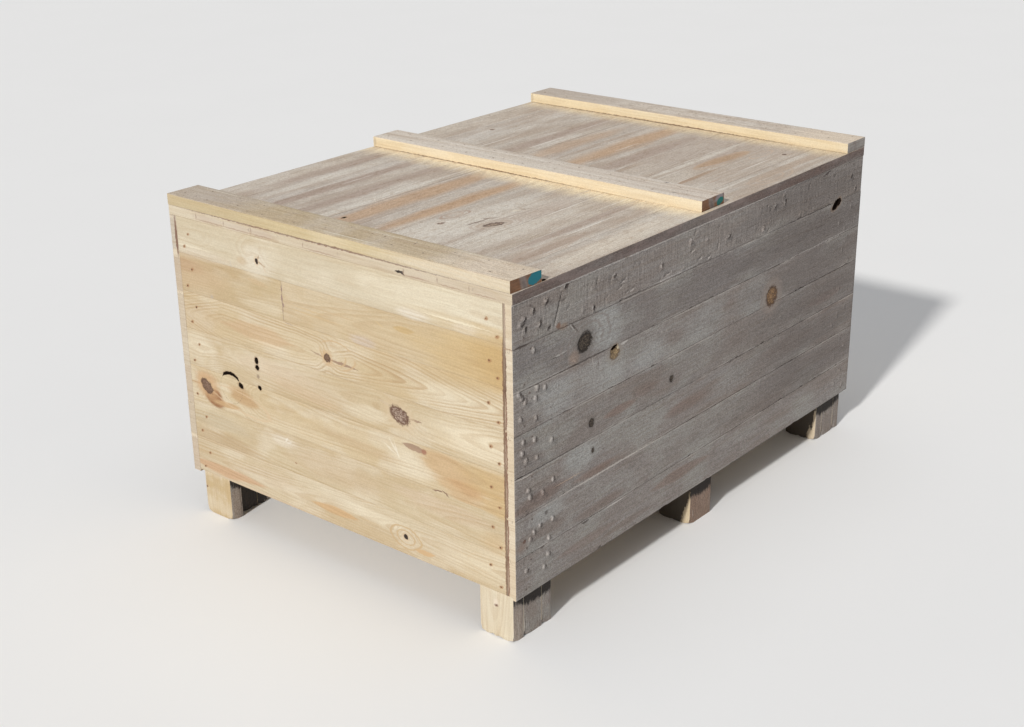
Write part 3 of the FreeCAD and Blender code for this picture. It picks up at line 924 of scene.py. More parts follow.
walls_low, walls_high = Vector((-0.495, -0.6875, 0.1)), Vector((0.495, 0.6875, 0.73))
CORNER_BROWN, PALE_CORE, GREYED = (0.19, 0.095, 0.058), (0.58, 0.45, 0.34), (0.54, 0.45, 0.37)
right_end_marks = [
    Mark(0.4745, row_middle(n), 0.0040 if n < 6 else 0.0030, 0.0620, tone, 0.92, 0.0, 0.2, False)
    for n, tone in enumerate([CORNER_BROWN] * 5 + [(0.13, 0.065, 0.04), (0.30, 0.22, 0.17)])]
right_end_marks += [
    Mark(0.474, z, 0.008, 0.0024, (0.60, 0.48, 0.34), 0.8, 0.0, 0.4, False) for z in (0.28, 0.47)]
right_end_marks += [
    Mark(0.4748, row_middle(n), 0.0010, 0.036, PALE_CORE, 0.6 if n != 5 else 0.3, 0.0, 0.4, False)
    for n in range(7)]
right_end_marks += [Mark(0.484, 0.6405, 0.012, 0.0014, (0.36, 0.24, 0.16), 0.9, 0.0, 0.3, False)]
left_end_marks = [Mark(-0.4770, 0.681, 0.0042, 0.047, CORNER_BROWN, 0.9, 0.0, 0.3, False)]
LEFT_TONES = (
    (0.57, 0.475, 0.37), (0.57, 0.49, 0.38), (0.56, 0.47, 0.365), (0.62, 0.545, 0.43), (0.60, 0.52, 0.405),
    (0.56, 0.465, 0.355), (0.58, 0.525, 0.44))
left_end_stains = [
    Stain(-0.484, row_middle(n), 0.05, 0.046, tone, 0.9, 0.0, 0.08) for n, tone in enumerate(LEFT_TONES)]
# The first mark is painted shade: a dark line along the top of the lid ends, where the front batten sits on
# them.
lid_end_marks = several(Mark, (-0.05, 0.7514, 0.40, 0.0010, (0.22, 0.11, 0.07), 0.95, 0.0, 0.3, False),
                 (0.209, 0.7382, 0.013, 0.0028, (0.03, 0.02, 0.015), 1.0, 0.1, 0.2, True),
                 (0.216, 0.7365, 0.009, 0.0018, (0.03, 0.02, 0.015), 1.0, -0.5, 0.2, True))
for start, stop in (
        (-0.403, -0.311), (-0.311, -0.223), (-0.223, -0.150), (-0.064, 0.043), (0.22, 0.29), (0.309, 0.374),
        (0.39, 0.46)):
    lid_end_marks.append(Mark(
        (start + stop) / 2, 0.7405, (stop - start) / 2, 0.0065, GREYED, 0.5 if start < -0.2 else 0.2, 0.0,
        0.6, False))
    lid_end_marks.append(Mark(start, 0.7405, 0.0014, 0.0055, (0.34, 0.23, 0.17), 0.75, 0.0, 0.5, False))
    lid_end_marks.append(Mark(
        (start + stop) / 2, 0.7340, (stop - start) / 2, 0.0014, (0.38, 0.26, 0.19), 0.7, 0.0, 0.5, False))
END_FINISH = {
    "front": pine("front plank ends", END_FRONT, walls_low, walls_high, 3.3, END_GRAIN),
    "back": pine("back plank ends", END_BACK, walls_low, walls_high, 4.3, END_GRAIN),
    "left": pine(
        "left plank ends", END_FRONT, walls_low, walls_high, 5.3, END_GRAIN, marks=left_end_marks,
        stains=left_end_stains),
    "right": pine(
        "right plank ends", END_FRONT, walls_low, walls_high, 6.3, END_GRAIN, marks=right_end_marks),
    "lid": pine(
        "lid plank ends", END_FRONT, walls_low, walls_high, 7.3,
        age(END_GRAIN, pale=(0.68, 0.60, 0.46), warm=(0.62, 0.53, 0.40)), marks=lid_end_marks)}
LIES = {"front": END_FRONT, "back": END_BACK, "left": SIDE_LEFT, "right": SIDE_RIGHT, "lid": LID}
INNER_FINISH = {side: pine(f"{side} plank insides", lie, walls_low, walls_high, 8.3 + n, INNER)
                for n, (side, lie) in enumerate(LIES.items())}
EDGE_FINISH = {"lid": pine(
    "lid side edges", SIDE_RIGHT, walls_low, walls_high, 14.2,
    age(
        WEATHERED, pale=(0.28, 0.225, 0.205), warm=(0.25, 0.19, 0.17), grey_light=(0.32, 0.27, 0.25),
        grey_dark=(0.185, 0.145, 0.13), brown=(0.22, 0.145, 0.12), streak=(0.32, 0.26, 0.24),
        arris=(0.30, 0.235, 0.215), seam=0.0, haze=(0.36, 0.33, 0.31), haze_share=0.4, rust=0.7, lines=0.1))}
print("Cut ends carry", len(right_end_marks) + len(left_end_marks) + len(lid_end_marks), "marks")

# %% [markdown]
# ### The front wall
#
# Seven rows of planed pine. The knots, the resin and the bold figure in the fifth row are put
# where this crate has them, and everything between is left to the rings. Each length is in
# metres along the wall and up it, so a feature can be checked with a rule.

# %% List the knots and holes of the front wall
SPLIT, ORANGE, TAN, RESIN = (0.33, 0.22, 0.19), (0.58, 0.40, 0.23), (0.57, 0.44, 0.28), (0.60, 0.42, 0.22)
CREAM, CHALK, DUSK, CUT = (0.77, 0.695, 0.54), (0.80, 0.75, 0.65), (0.32, 0.21, 0.14), (0.25, 0.16, 0.11)
front_marks = {
    "knots": several(
        Knot, (-0.2125, 0.6755, 0.0044, 0.0068, "black", 0.012, 9.0, 0.3),
        (-0.012, 0.502, 0.0092, 0.0098, "brown", 0.016, 5.0, -0.3),
        (-0.419, 0.333, 0.0215, 0.0150, "brown", 0.016, 2.6, -0.6),
        (0.192, 0.4265, 0.027, 0.0175, "mottled", 0.016, 2.6, -0.35),
        (0.195, 0.147, 0.0062, 0.0060, "black", 0.02, 7.0, -0.4),
        (-0.334, 0.354, 0.022, 0.020, None, 0.040, 5.5), (0.018, 0.524, 0.014, 0.010, None, 0.012, 3.5),
        (-0.31, 0.70, 0.04, 0.03, None, 0.02, 2.5)),
    "holes": several(
        Hole, (-0.239, 0.440, 0.0058, 0.0082), (-0.238, 0.4235, 0.0060, 0.0068),
        (-0.235, 0.3755, 0.0056, 0.0050, -0.6), (-0.299, 0.3640, 0.0090, 0.0064, -0.6)),
    "arcs": [Arc(-0.332, 0.350, 0.04, 0.0360, 0.0042)]}
print("Front knots:", len(front_marks["knots"]), "holes:", len(front_marks["holes"]))

# %% List its stains
front_marks["stains"] = several(
    Stain, (0.30, 0.70, 0.20, 0.04, (0.77, 0.70, 0.545), 0.75, 0.0, 0.6),
    (-0.215, 0.672, 0.042, 0.030, (0.74, 0.68, 0.56), 0.75, 0.0, 0.7),
    (-0.262, 0.667, 0.014, 0.008, TAN, 0.6, 0.0, 0.5), (-0.40, 0.652, 0.11, 0.012, (0.70, 0.62, 0.50), 0.6),
    (0.24, 0.654, 0.040, 0.010, CHALK, 0.8), (0.377, 0.655, 0.026, 0.009, CHALK, 0.8),
    (-0.43, 0.600, 0.10, 0.035, (0.57, 0.43, 0.27), 0.8, 0.0, 0.6),
    (-0.46, 0.618, 0.06, 0.014, (0.52, 0.36, 0.22), 0.75, 0.0, 0.5),
    (-0.215, 0.626, 0.034, 0.006, (0.58, 0.44, 0.27), 0.7, -0.1, 0.3, True),
    (-0.20, 0.575, 0.06, 0.014, (0.70, 0.61, 0.45), 0.7),
    (0.20, 0.59, 0.22, 0.05, (0.62, 0.50, 0.325), 0.7, 0.0, 0.6),
    (0.44, 0.595, 0.19, 0.055, (0.62, 0.465, 0.25), 0.9, 0.0, 0.6),
    (0.47, 0.60, 0.07, 0.05, (0.57, 0.395, 0.18), 0.8, 0.0, 0.6),
    (0.213, 0.6175, 0.030, 0.0065, (0.58, 0.42, 0.21), 0.85, 0.03, 0.3, True),
    (0.095, 0.565, 0.034, 0.012, (0.63, 0.54, 0.46), 0.7),
    (-0.235, 0.506, 0.122, 0.019, (0.63, 0.47, 0.30), 0.8, -0.01, 0.25, True),
    (-0.43, 0.500, 0.08, 0.035, (0.60, 0.475, 0.32), 0.45, 0.0, 0.6),
    (0.36, 0.500, 0.12, 0.03, CREAM, 0.6, 0.0, 0.6), (-0.18, 0.430, 0.10, 0.020, (0.71, 0.60, 0.46), 0.6),
    (-0.10, 0.402, 0.10, 0.012, (0.64, 0.49, 0.33), 0.6, -0.1), (-0.44, 0.43, 0.05, 0.03, CREAM, 0.6),
    (0.10, 0.405, 0.06, 0.018, CREAM, 0.6), (0.40, 0.42, 0.10, 0.035, (0.78, 0.69, 0.52), 0.9, 0.0, 0.6),
    (-0.10, 0.42, 0.13, 0.03, (0.61, 0.49, 0.34), 0.5, 0.0, 0.6),
    (-0.414, 0.338, 0.034, 0.030, (0.58, 0.39, 0.23), 0.8, -0.5, 0.5),
    (-0.392, 0.308, 0.032, 0.019, (0.30, 0.14, 0.057), 0.95, -0.3, 0.2),
    (-0.350, 0.303, 0.045, 0.007, (0.57, 0.38, 0.20), 0.85, 0.05, 0.3),
    (-0.292, 0.334, 0.055, 0.022, (0.52, 0.35, 0.19), 0.9, -0.2, 0.35, True),
    (-0.35, 0.345, 0.03, 0.010, CREAM, 0.6), (-0.30, 0.342, 0.045, 0.014, (0.54, 0.37, 0.20), 0.8, -0.15),
    (0.338, 0.326, 0.090, 0.034, (0.60, 0.43, 0.25), 0.9, -0.22, 0.2),
    (0.370, 0.314, 0.040, 0.013, (0.55, 0.35, 0.18), 0.75, -0.1, 0.5),
    (0.225, 0.318, 0.055, 0.020, CREAM, 0.8, -0.1, 0.5),
    (0.455, 0.298, 0.045, 0.026, (0.60, 0.43, 0.22), 0.8),
    (0.44, 0.343, 0.07, 0.026, (0.58, 0.41, 0.20), 0.8, 0.0, 0.6),
    (0.05, 0.325, 0.12, 0.012, TAN, 0.6, -0.05), (-0.40, 0.250, 0.10, 0.018, (0.56, 0.48, 0.34), 0.7),
    (-0.38, 0.207, 0.12, 0.018, (0.53, 0.41, 0.26), 0.75),
    (0.445, 0.214, 0.040, 0.018, (0.63, 0.48, 0.29), 0.7, 0.0, 0.6),
    (0.30, 0.25, 0.12, 0.02, (0.64, 0.52, 0.38), 0.6), (-0.17, 0.265, 0.04, 0.014, CHALK, 0.6),
    (0.0, 0.238, 0.14, 0.03, (0.59, 0.47, 0.32), 0.6, 0.0, 0.6),
    (-0.37, 0.128, 0.125, 0.013, (0.59, 0.38, 0.23), 0.85, 0.0, 0.25, True),
    (-0.02, 0.142, 0.075, 0.010, (0.61, 0.41, 0.22), 0.9, 0.0, 0.25, True),
    (-0.25, 0.155, 0.12, 0.02, (0.76, 0.69, 0.57), 0.4),
    (0.42, 0.15, 0.10, 0.035, (0.76, 0.67, 0.50), 0.6, 0.0, 0.6), (0.10, 0.165, 0.10, 0.014, CREAM, 0.6))
print("Front stains:", len(front_marks["stains"]))

# %% List its cracks, scratches and rust, and a painted shade line along its foot
front_marks["marks"] = several(
    Mark, (-0.43, 0.6665, 0.065, 0.0022, CREAM, 0.55, 0.0, 0.5),
    (0.355, 0.6670, 0.095, 0.0022, (0.86, 0.79, 0.61), 0.55, 0.0, 0.5),
    (-0.198, 0.6715, 0.016, 0.0020, (0.42, 0.29, 0.18), 0.8, -0.35),
    (-0.206, 0.684, 0.006, 0.0022, (0.40, 0.27, 0.17), 0.8, 1.1),
    (-0.188, 0.662, 0.003, 0.008, (0.60, 0.47, 0.33), 0.5, 0.3),
    (-0.297, 0.652, 0.0014, 0.009, (0.55, 0.50, 0.43), 0.6),
    (-0.372, 0.560, 0.0045, 0.0045, (0.46, 0.39, 0.32), 0.6, 0.0, 0.5, False),
    (-0.1395, 0.6280, 0.0022, 0.0075, SPLIT, 0.9), (-0.1400, 0.6050, 0.0024, 0.0110, SPLIT, 0.9),
    (-0.1375, 0.5925, 0.0036, 0.0050, SPLIT, 0.9, 0.4),
    (-0.1395, 0.5800, 0.0020, 0.0085, (0.38, 0.27, 0.22), 0.8),
    (-0.1395, 0.5620, 0.0011, 0.0110, (0.46, 0.36, 0.28), 0.6),
    (-0.124, 0.5525, 0.014, 0.0014, (0.40, 0.30, 0.22), 0.8, -0.05),
    (-0.06, 0.598, 0.070, 0.0016, (0.57, 0.42, 0.24), 0.6, -0.03),
    (-0.04, 0.588, 0.085, 0.0020, (0.57, 0.42, 0.24), 0.6, -0.02),
    (0.02, 0.606, 0.060, 0.0014, (0.55, 0.40, 0.24), 0.6, -0.02),
    (0.147, 0.6140, 0.011, 0.0018, (0.60, 0.45, 0.24), 0.7, -0.5),
    (-0.185, 0.4885, 0.070, 0.0028, (0.78, 0.69, 0.51), 0.35, 0.0, 0.6),
    (0.034, 0.4985, 0.046, 0.0030, DUSK, 0.9, -0.05), (-0.040, 0.5045, 0.024, 0.0018, DUSK, 0.7, -0.15),
    (-0.237, 0.402, 0.0046, 0.0050, (0.24, 0.17, 0.12), 0.75, 0.0, 0.6, False),
    (-0.242, 0.4470, 0.0028, 0.0042, (0.40, 0.30, 0.22), 0.6, 0.0, 0.5, False),
    (0.238, 0.4255, 0.018, 0.0026, (0.30, 0.19, 0.13), 0.85),
    (0.155, 0.4430, 0.022, 0.0030, (0.52, 0.42, 0.30), 0.6, -0.2),
    (-0.457, 0.3340, 0.018, 0.0020, (0.45, 0.28, 0.15), 0.8),
    (0.230, 0.3640, 0.034, 0.0072, (0.34, 0.225, 0.155), 0.9, -0.05),
    (0.257, 0.3625, 0.0070, 0.0060, (0.33, 0.16, 0.10), 0.85, 0.0, 0.3, False),
    (0.290, 0.2850, 0.0140, 0.0017, CUT, 0.95, 0.12), (0.313, 0.2850, 0.0115, 0.0017, CUT, 0.95, -0.5),
    (0.172, 0.350, 0.022, 0.0024, CHALK, 0.45, -0.9, 0.6),
    (0.180, 0.345, 0.020, 0.0022, CHALK, 0.45, -1.2, 0.6),
    (0.162, 0.343, 0.020, 0.0022, CHALK, 0.45, -0.5, 0.6),
    (-0.158, 0.271, 0.008, 0.0030, (0.82, 0.78, 0.70), 0.5, 0.9, 0.6),
    (-0.150, 0.266, 0.009, 0.0024, (0.82, 0.78, 0.70), 0.4, 0.3, 0.6),
    (-0.133, 0.2220, 0.0045, 0.0022, (0.36, 0.21, 0.12), 0.9),
    (0.250, 0.1270, 0.030, 0.0060, (0.58, 0.39, 0.21), 0.9, 0.08),
    # The last three marks are painted shade: thin tan lines along the foot of the wall, where the face steps
    # back to the tongue.
    (-0.10, 0.1045, 0.38, 0.0016, (0.56, 0.41, 0.27), 0.7),
    (-0.25, 0.1085, 0.22, 0.0012, (0.60, 0.44, 0.31), 0.7),
    (0.25, 0.1060, 0.20, 0.0014, (0.57, 0.43, 0.27), 0.6))
front_marks["marks"] += [
    Mark(0.4710, row_middle(n), 0.0026, 0.0600, CORNER_BROWN, 0.85, 0.0, 0.3, False) for n in range(6)]
front_marks["marks"] += rust_marks(END_FRONT, WALL_FRONT, (0.38, 0.20, 0.09), 0.8)
print("Front marks:", len(front_marks["marks"]))

# %% List its bold year lines and its dents
front_marks["loops"] = several(
    Loop, (0.020, 0.515, 0.050, 0.030, (0.54, 0.38, 0.22), 0.8, -0.1, 0.05),
    (0.012, 0.512, 0.032, 0.020, (0.54, 0.38, 0.22), 0.8, -0.1, 0.07),
    (-0.300, 0.322, 0.095, 0.026, (0.60, 0.45, 0.29), 0.7, -0.12, 0.05),
    (0.196, 0.146, 0.042, 0.024, (0.52, 0.37, 0.21), 0.9, -0.1, 0.06),
    (0.196, 0.146, 0.024, 0.015, (0.52, 0.37, 0.21), 0.8, -0.1, 0.09),
    (0.405, 0.158, 0.034, 0.020, (0.62, 0.49, 0.32), 0.5, 0.0, 0.05))
front_marks["dents"] = several(
    Dent, (-0.239, 0.440, 0.0036, 0.0060, 0.0020), (-0.238, 0.4235, 0.0036, 0.0045, 0.0020),
    (-0.235, 0.3755, 0.003, 0.003, 0.0020), (-0.299, 0.3640, 0.0066, 0.0042, 0.0020, -0.6),
    (-0.2125, 0.6755, 0.0028, 0.0050, 0.0020), (0.195, 0.147, 0.005, 0.005, 0.0020),
    (0.197, 0.4255, 0.022, 0.013, 0.0008, -0.3), (-0.420, 0.333, 0.018, 0.013, 0.0006, -0.35),
    (-0.012, 0.502, 0.007, 0.007, 0.0010), (0.240, 0.364, 0.026, 0.003, 0.0010),
    (0.302, 0.285, 0.020, 0.0015, 0.0010))
print("Front dents:", len(front_marks["dents"]))

# %% Give each row its tone
front_tones = {
    (7, 0): dict(pale=(0.66, 0.59, 0.45), warm=(0.62, 0.535, 0.385), lines=0.25, haze_share=0.5),
    (6, 0): dict(pale=(0.57, 0.455, 0.28), warm=(0.52, 0.395, 0.235), lines=0.34, haze_share=0.3),
    (6, 1): dict(pale=(0.61, 0.50, 0.33), warm=(0.57, 0.445, 0.275), lines=0.36, haze_share=0.3),
    (5, 0): dict(
        tips=(-0.34, 0.24, -0.10, 0.11), heart=(-0.002, -0.012), spacing=0.006, lines=0.64, wander=0.004,
        slope=0.0, late=(0.46, 0.30, 0.15)),
    (4, 0): dict(
        slope=-0.06, heart=(0.01, -0.02), spacing=0.0068, lines=0.44, pale=(0.64, 0.545, 0.385),
        warm=(0.58, 0.465, 0.295)),
    (3, 0): dict(slope=0.03, heart=(0.02, -0.03), lines=0.42),
    (2, 0): dict(
        slope=-0.05, heart=(-0.01, -0.02), lines=0.40, pale=(0.62, 0.525, 0.36), warm=(0.57, 0.46, 0.295)),
    (1, 0): dict(
        slope=-0.05, heart=(0.0, -0.02), lines=0.50, pale=(0.64, 0.55, 0.395), warm=(0.58, 0.465, 0.30))}

# %% Build the front wall
wall_of_planks(
    "front", END_FRONT, range(1, 8), FRESH, 0.0004, 0.007, front_marks, front_tones, reach=(0.0029, 0.0014))


# %% [markdown]
# ### Boards that no plan describes
#
# The far walls need the same wealth of knots and stains, but nobody has drawn them. A seeded
# random sower spreads a dozen knots over each wall, every one with a dark tail and a warm stain,
# and long stains between them. Typing them in by hand would give nothing that a viewer can check.

# %% Sow knots and stains
def sow(rnd, lie, low, high, kinds, colours, knots, stains):
    """Random knots with tails, and long stains, over a whole wall."""
    found = {"knots": [], "stains": [], "marks": []}
    for _ in range(knots):
        a, c = rnd.uniform(low[lie.along], high[lie.along]), rnd.uniform(low[lie.across], high[lie.across])
        size = rnd.uniform(0.004, 0.015)
        tilt = rnd.uniform(-0.4, 0.4)
        found["knots"].append(Knot(
            a, c, size * rnd.uniform(1.0, 1.6), size, rnd.choice(kinds), 0.014, 3.5, tilt))
        found["marks"].append(Mark(a + size * 1.8, c, size * 2.2, size * 0.14, colours[0], 0.7, tilt * 0.3))
        found["stains"].append(Stain(a - size, c, size * 3.5, size * 1.6, colours[1], 0.5))
    for _ in range(stains):
        a, c = rnd.uniform(low[lie.along], high[lie.along]), rnd.uniform(low[lie.across], high[lie.across])
        found["stains"].append(Stain(
            a, c, rnd.uniform(0.04, 0.2), rnd.uniform(0.006, 0.022), rnd.choice(colours[1:]),
            rnd.uniform(0.5, 0.85), rnd.uniform(-0.08, 0.08), rnd.choice((0.25, 0.5)),
            rnd.choice((True, False))))
    return found


sower = random.Random(77)
back_marks = sow(
    sower, END_BACK, walls_low, walls_high, ("brown", "mottled", "black", "tight"),
    (DUSK, ORANGE, TAN, CREAM, CHALK, RESIN), 12, 30)
back_marks["marks"] += rust_marks(END_BACK, WALL_BACK, (0.47, 0.30, 0.16), 0.65)
wall_of_planks("back", END_BACK, range(1, 8), FRESH, 0.0005, 0.010, back_marks, reach=(0.0013, 0.0013))

# %% [markdown]
# ### The side walls
#
# The sides are older planks, gone grey. Old fastenings were driven out of them from inside, so
# both ends are covered with little raised bruises, and the top plank, sawn rough, has gouges as
# well. A raised bruise is a dent with a negative depth. The bruises and gouges also get painted
# shadow behind them and, on many, a painted highlight in front.

# %% Place the bruises of the right wall
knock = random.Random(11)
ASH, UMBER, RUSTY = (0.58, 0.58, 0.565), (0.34, 0.27, 0.235), (0.36, 0.25, 0.205)
SOOT_AND_SHADOW, SPLINTER_AND_HIGHLIGHT, GREY_RING = (0.10, 0.08, 0.07), (0.62, 0.57, 0.53), (0.28, 0.235, 0.21)
bruises = [
    (-.586, .709), (-.626, .702), (-.653, .692), (-.606, .672), (-.660, .684), (-.650, .672), (-.580, .656),
    (-.627, .623), (-.526, .723), (-.436, .653), (-.621, .522), (-.654, .525), (-.665, .537), (-.672, .545),
    (-.621, .481), (-.668, .492), (-.617, .543), (-.593, .535), (-.366, .702), (-.661, .442), (-.626, .436),
    (-.573, .416), (-.664, .419), (-.653, .399), (-.619, .395), (-.568, .328), (-.642, .316), (-.601, .311),
    (-.647, .333), (-.570, .240), (-.611, .241), (-.630, .233), (-.583, .201), (-.642, .222), (-.655, .157),
    (-.598, .141), (-.585, .165), (-.197, .675), (-.088, .702), (.065, .676), (.580, .580), (.605, .506),
    (.602, .403), (.603, .332), (.640, .343), (.314, .414), (.578, .311), (.309, .698), (.638, .611),
    (.215, .658), (.264, .700), (.628, .690), (.655, .655), (.610, .560), (.640, .470), (.625, .260),
    (.650, .235), (.600, .215), (.640, .170), (.610, .140), (.655, .125)]
dents, dent_light_and_shade = [], []
for a, c in bruises:
    tilt = knock.uniform(0.2, 1.5)
    if c < 0.64:
        wide, tall = knock.uniform(.0034, .0046), knock.uniform(.0048, .0066)
        strong = 1.0 if a < 0 else 0.35
        dents.append(Dent(
            a, c, wide, tall, knock.choice((-.0024, -.0032)) * strong, knock.uniform(-.25, .25), .0038))
        # A painted shadow behind each bruise, and a painted highlight on its front side.
        dent_light_and_shade.append(Mark(
            a + 1.5 * wide, c - .002, wide * 0.8, tall, SOOT_AND_SHADOW, knock.uniform(.75, 1.0) * strong, 0.0, 0.5,
            False))
        dent_light_and_shade.append(Mark(
            a - 0.6 * wide, c + .001, wide * 0.5, tall * 0.75, SPLINTER_AND_HIGHLIGHT, knock.uniform(.2, .65) * strong, 0.0,
            0.6, False))
        continue
    for _ in range(2):
        dents.append(Dent(
            a + knock.uniform(-.004, .003), c + knock.uniform(-.005, .005), knock.uniform(.0045, .0095),
            knock.uniform(.0020, .0034), knock.choice((-.0014, -.0022)), tilt + knock.uniform(-.5, .5),
            .0040))
    dents.append(Dent(
        a + knock.uniform(.003, .007), c + knock.uniform(-.004, .002), knock.uniform(.0035, .0060),
        knock.uniform(.0018, .0028), .0030, tilt + knock.uniform(-.5, .5), .0040))
    # A painted shadow behind each gouge and, on half of them, a painted highlight in front.
    dent_light_and_shade.append(Mark(
        a + .005, c - .002, knock.uniform(.0065, .0105), .0036, SOOT_AND_SHADOW, knock.uniform(.75, 1.0), tilt, 0.5))
    if knock.random() < 0.5:
        dent_light_and_shade.append(Mark(a - .002, c + .001, .0040, .0020, SPLINTER_AND_HIGHLIGHT, knock.uniform(.3, .7), tilt, 0.6))
for a, c in (
        (-.333, .682), (-.343, .671), (-.302, .655), (-.314, .655), (-.079, .680), (-.048, .655),
        (-.170, .653), (-.013, .649)):
    dents.append(Dent(a, c, knock.uniform(.008, .014), .0022, .0018, knock.uniform(.1, .4)))
    # A painted highlight beside each scratch.
    dent_light_and_shade.append(Mark(a + .002, c - .003, .010, .0012, SPLINTER_AND_HIGHLIGHT, .45, .25, .5))
for _ in range(40):
    a, c, tilt = knock.uniform(-.56, .66), knock.uniform(.646, .724), knock.uniform(.1, 1.4)
    la, lc = knock.uniform(.003, .009), knock.uniform(.0015, .003)
    dents.append(Dent(a, c, la, lc, knock.choice((-.0016, .0014, .0022)), tilt))
dents += several(
    Dent, (-.547, .683, .036, .0016, .0022, 1.195), (.561, .634, .016, .007, .0060, .35),
    (-.498, .630, .020, .0014, .0015, -.80), (-.463, .589, .021, .017, .0012),
    (-.362, .540, .012, .007, .0030), (.268, .479, .022, .020, .0010))
print("Dents in the right wall:", len(dents))

# %% List the knots and stains of the right wall
right_marks = {
    "knots": several(
        Knot, (-0.463, 0.589, 0.0240, 0.0200, "grey", 0.02, 2.4, 0.35),
        (-0.361, 0.5320, 0.0165, 0.0125, "orange", 0.014, 2.6),
        (-0.440, 0.405, 0.0085, 0.0095, "grey", 0.014, 3.0),
        (-0.149, 0.407, 0.0070, 0.0078, "grey", 0.014, 3.0), (-0.434, 0.341, 0.0040, 0.0056, "grey"),
        (0.268, 0.479, 0.0250, 0.0245, "rusty", 0.02, 2.4, 0.6)),
    "holes": several(
        Hole, (0.556, 0.630, 0.0170, 0.0085, 0.25), (0.573, 0.637, 0.0120, 0.0085, 0.5),
        (-0.362, 0.546, 0.0100, 0.0052, 0.2)),
    "dents": dents}
right_marks["stains"] = several(
    Stain, (-0.395, 0.606, 0.055, 0.042, ASH, 0.9, 0.0, 0.5),
    (-0.497, 0.566, 0.014, 0.020, (0.60, 0.45, 0.36), 0.7, 0.0, 0.6),
    (-0.531, 0.643, 0.012, 0.006, (0.46, 0.32, 0.23), 0.6, 0.0, 0.6), (-0.25, 0.415, 0.05, 0.014, UMBER, 0.8),
    (-0.335, 0.400, 0.060, 0.010, RUSTY, 0.7, 0.0, 0.3),
    (-0.45, 0.140, 0.11, 0.010, RUSTY, 0.4, 0.0, 0.5, True),
    (-0.30, 0.122, 0.10, 0.008, UMBER, 0.6, 0.0, 0.3, True), (-0.40, 0.204, 0.08, 0.012, UMBER, 0.7),
    (-0.583, 0.222, 0.05, 0.014, UMBER, 0.6), (-0.42, 0.292, 0.075, 0.010, RUSTY, 0.6, 0.0, 0.6, True),
    (-0.61, 0.300, 0.090, 0.016, (0.31, 0.225, 0.19), 0.7, 0.08, 0.6, True),
    (-0.475, 0.340, 0.055, 0.026, ASH, 0.8, 0.0, 0.5), (-0.59, 0.262, 0.055, 0.016, ASH, 0.8, 0.0, 0.5),
    (-0.56, 0.500, 0.06, 0.035, ASH, 0.7, 0.0, 0.6), (-0.40, 0.500, 0.09, 0.035, ASH, 0.6, 0.0, 0.6),
    (0.08, 0.512, 0.035, 0.009, RUSTY, 0.7, 0.1), (-0.149, 0.500, 0.045, 0.014, UMBER, 0.6),
    (0.117, 0.416, 0.05, 0.014, UMBER, 0.6), (-0.008, 0.500, 0.07, 0.030, ASH, 0.8, 0.0, 0.6),
    (0.186, 0.505, 0.07, 0.035, ASH, 0.8, 0.0, 0.6), (-0.230, 0.488, 0.06, 0.025, ASH, 0.7, 0.0, 0.6),
    (0.105, 0.328, 0.10, 0.025, ASH, 0.7, 0.0, 0.6), (0.53, 0.402, 0.10, 0.013, RUSTY, 0.7, 0.0, 0.3, True),
    (0.36, 0.33, 0.12, 0.02, UMBER, 0.6), (0.20, 0.20, 0.16, 0.02, UMBER, 0.5),
    (-0.10, 0.16, 0.12, 0.014, RUSTY, 0.6, 0.0, 0.3, True), (-0.07, 0.326, 0.09, 0.014, RUSTY, 0.7, 0.0, 0.4),
    (0.0, 0.60, 0.30, 0.03, (0.31, 0.275, 0.26), 0.6, 0.0, 0.6),
    (0.45, 0.60, 0.22, 0.03, (0.30, 0.27, 0.25), 0.6, 0.0, 0.6))
right_marks["stains"] += [
    Stain(0.46, row_middle(n), 0.30, 0.042, (0.255, 0.222, 0.205), 0.72, 0.0, 0.6) for n in range(1, 7)]
right_marks["stains"] += [
    Stain(0.08, row_middle(n), 0.20, 0.030, (0.37, 0.33, 0.305), 0.5, 0.0, 0.6) for n in range(1, 5)]
print("Right stains:", len(right_marks["stains"]))
